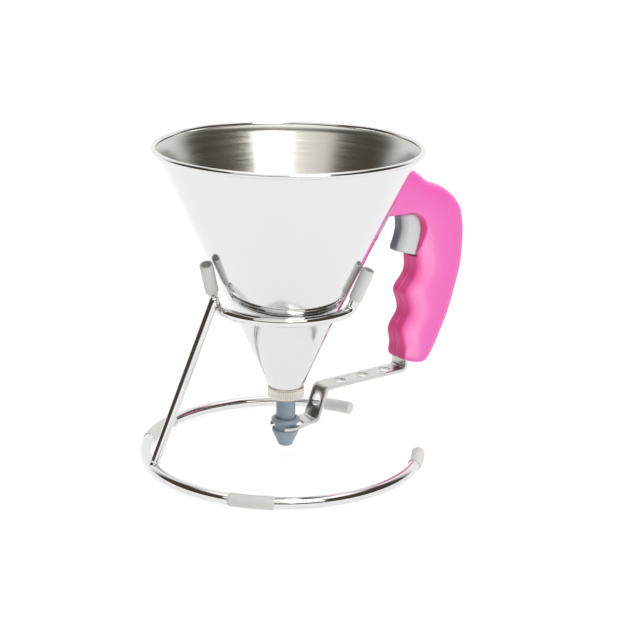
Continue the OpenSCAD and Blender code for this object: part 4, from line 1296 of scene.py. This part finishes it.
class DISPENSER_OT_stage(bpy.types.Operator):
    """Makes the floor, the studio light and the camera"""
    bl_idname = "dispenser.stage"
    bl_label = "Stage"

    def execute(self, context):
        st, scene = context.scene.dispenser_stage, context.scene
        tone = finish().floor
        mat, tree, bsdf, skin = shader("Lit Floor", "Moulded Skin", {
            "Grains per mm": 0.5, "Rough Low": 0.5, "Rough High": 0.6, "Colour": rgba(tone),
            "Shade": rgba(tone, 0.99)}, Roughness=0.6, Specular_IOR_Level=0.1,
            Emission_Color=(1.0, 1.0, 1.0, 1.0), Emission_Strength=0.86)
        feed(tree, bsdf["Base Color"], skin["Colour"])
        verts = [(x, y, 0.0) for x, y in ((-9, -9), (9, -9), (9, 9), (-9, 9))]
        add_piece("stage_floor", verts, [(0, 1, 2, 3)], [mat])

        # the stand's bare wire takes a wider and dimmer light in place of the bright one
        softbox("strip", 19, 34, 1.3, 0.57, 0.8, st.strip, "All But Wire")
        softbox("wire", 19, 34, 1.3, 0.62, 0.8, st.wire, "Wire", (1, 0.97, 0.9))
        softbox("grip", 45, -12, 1.0, 0.2, 1.0, st.grip, "Grip", target=Vector((0.085, 0, 0.11)),
                use_shadow=False)
        softbox("fill", -18, 35, 1.35, 1.35, 0.8, st.fill)
        lamp("overhead", "SUN", 0, 90, 1.5, st.sun, angle=1.2).visible_glossy = False
        lamp("side", "SUN", 42, 22, 1.5, st.side, angle=0.9).visible_glossy = False

        world = bpy.data.worlds.new("Studio")
        scene.world = world
        world.use_nodes = True
        tree = world.node_tree
        tree.nodes.clear()
        out = tree.nodes.new("ShaderNodeOutputWorld")
        way = coordinates(tree, "Generated")
        height = split(tree, way)[2]
        a, full = st.heading - AIM_OFF, 1.4
        ahead = across(tree, "DOT_PRODUCT", way, (math.sin(a), math.cos(a), 0))
        back, top = spread(tree, ahead, 0.32, 0.58), spread(tree, height, 0.78, 0.9, 0.0, full)
        under = spread(tree, height, 0.02, -0.02)
        light = maths(tree, "MAXIMUM", maths(tree, "MAXIMUM", back, top), under)
        tone = blend(tree, maths(tree, "DIVIDE", light, full), (0.068, 0.054, 0.042, 1),
                     (full, full, full, 1))
        # the camera itself sees plain white behind the object
        studio_light = node(tree, "ShaderNodeBackground", {"Color": tone, "Strength": 1.0})
        plain = node(tree, "ShaderNodeBackground", {"Color": (1, 1, 1, 1), "Strength": 1.0})
        seen = tree.nodes.new("ShaderNodeLightPath").outputs["Is Camera Ray"]
        mix = node(tree, "ShaderNodeMixShader", {0: seen, 1: studio_light.outputs[0], 2: plain.outputs[0]})
        feed(tree, out.inputs["Surface"], mix.outputs[0])

        data = bpy.data.cameras.new("camera")
        data.lens, data.sensor_width, data.sensor_fit = st.lens, 36.0, "HORIZONTAL"
        data.clip_start, data.clip_end = 0.01, 50.0
        cam = bpy.data.objects.new("camera", data)
        scene.collection.objects.link(cam)
        h, p, r = st.heading, st.pitch, st.roll
        look = Vector((math.sin(h) * math.cos(p), math.cos(h) * math.cos(p), -math.sin(p)))
        side = Vector((math.cos(h), -math.sin(h), 0))
        up = side.cross(look)
        x = side * math.cos(r) - up * math.sin(r)
        y = side * math.sin(r) + up * math.cos(r)
        turned = Matrix((x, y, -look)).transposed().to_4x4()
        cam.matrix_world = Matrix.Translation(Vector(st.camera)) @ turned
        scene.camera = cam
        scene.view_settings.view_transform = "Standard"
        scene.view_settings.look = "None"
        return {"FINISHED"}


class DISPENSER_PT_panel(bpy.types.Panel):
    """The dispenser's steps and sizes in the sidebar"""
    bl_idname = "DISPENSER_PT_panel"
    bl_label = "Batter Dispenser"
    bl_space_type = "VIEW_3D"
    bl_region_type = "UI"
    bl_category = "Dispenser"

    def draw(self, context):
        column = self.layout.column(align=True)
        for step in STEPS:
            column.operator(step.bl_idname)
        for group in (context.scene.dispenser_sizes, context.scene.dispenser_finish,
                      context.scene.dispenser_stage):
            box = self.layout.box()
            for key in group.__annotations__:
                box.prop(group, key)


STEPS = (DISPENSER_OT_stage, DISPENSER_OT_stand, DISPENSER_OT_sleeves, DISPENSER_OT_funnel,
         DISPENSER_OT_valve, DISPENSER_OT_handle, DISPENSER_OT_trigger, DISPENSER_OT_lever,
         DISPENSER_OT_fittings)
GROUP_CLASSES = (DispenserSizes, DispenserFinish, DispenserStage)


def register():
    for cls in GROUP_CLASSES + STEPS + (DISPENSER_PT_panel,):
        bpy.utils.register_class(cls)
    bpy.types.Scene.dispenser_sizes = PointerProperty(type=DispenserSizes)
    bpy.types.Scene.dispenser_finish = PointerProperty(type=DispenserFinish)
    bpy.types.Scene.dispenser_stage = PointerProperty(type=DispenserStage)


def unregister():
    del bpy.types.Scene.dispenser_stage
    del bpy.types.Scene.dispenser_finish
    del bpy.types.Scene.dispenser_sizes
    for cls in reversed(GROUP_CLASSES + STEPS + (DISPENSER_PT_panel,)):
        bpy.utils.unregister_class(cls)


def main():
    register()
    make_materials()
    bpy.ops.dispenser.stage()
    bpy.ops.dispenser.stand()
    bpy.ops.dispenser.sleeves()
    bpy.ops.dispenser.funnel()
    bpy.ops.dispenser.valve()
    bpy.ops.dispenser.handle()
    bpy.ops.dispenser.trigger()
    bpy.ops.dispenser.lever()
    bpy.ops.dispenser.fittings()


if __name__ == "__main__":
    main()
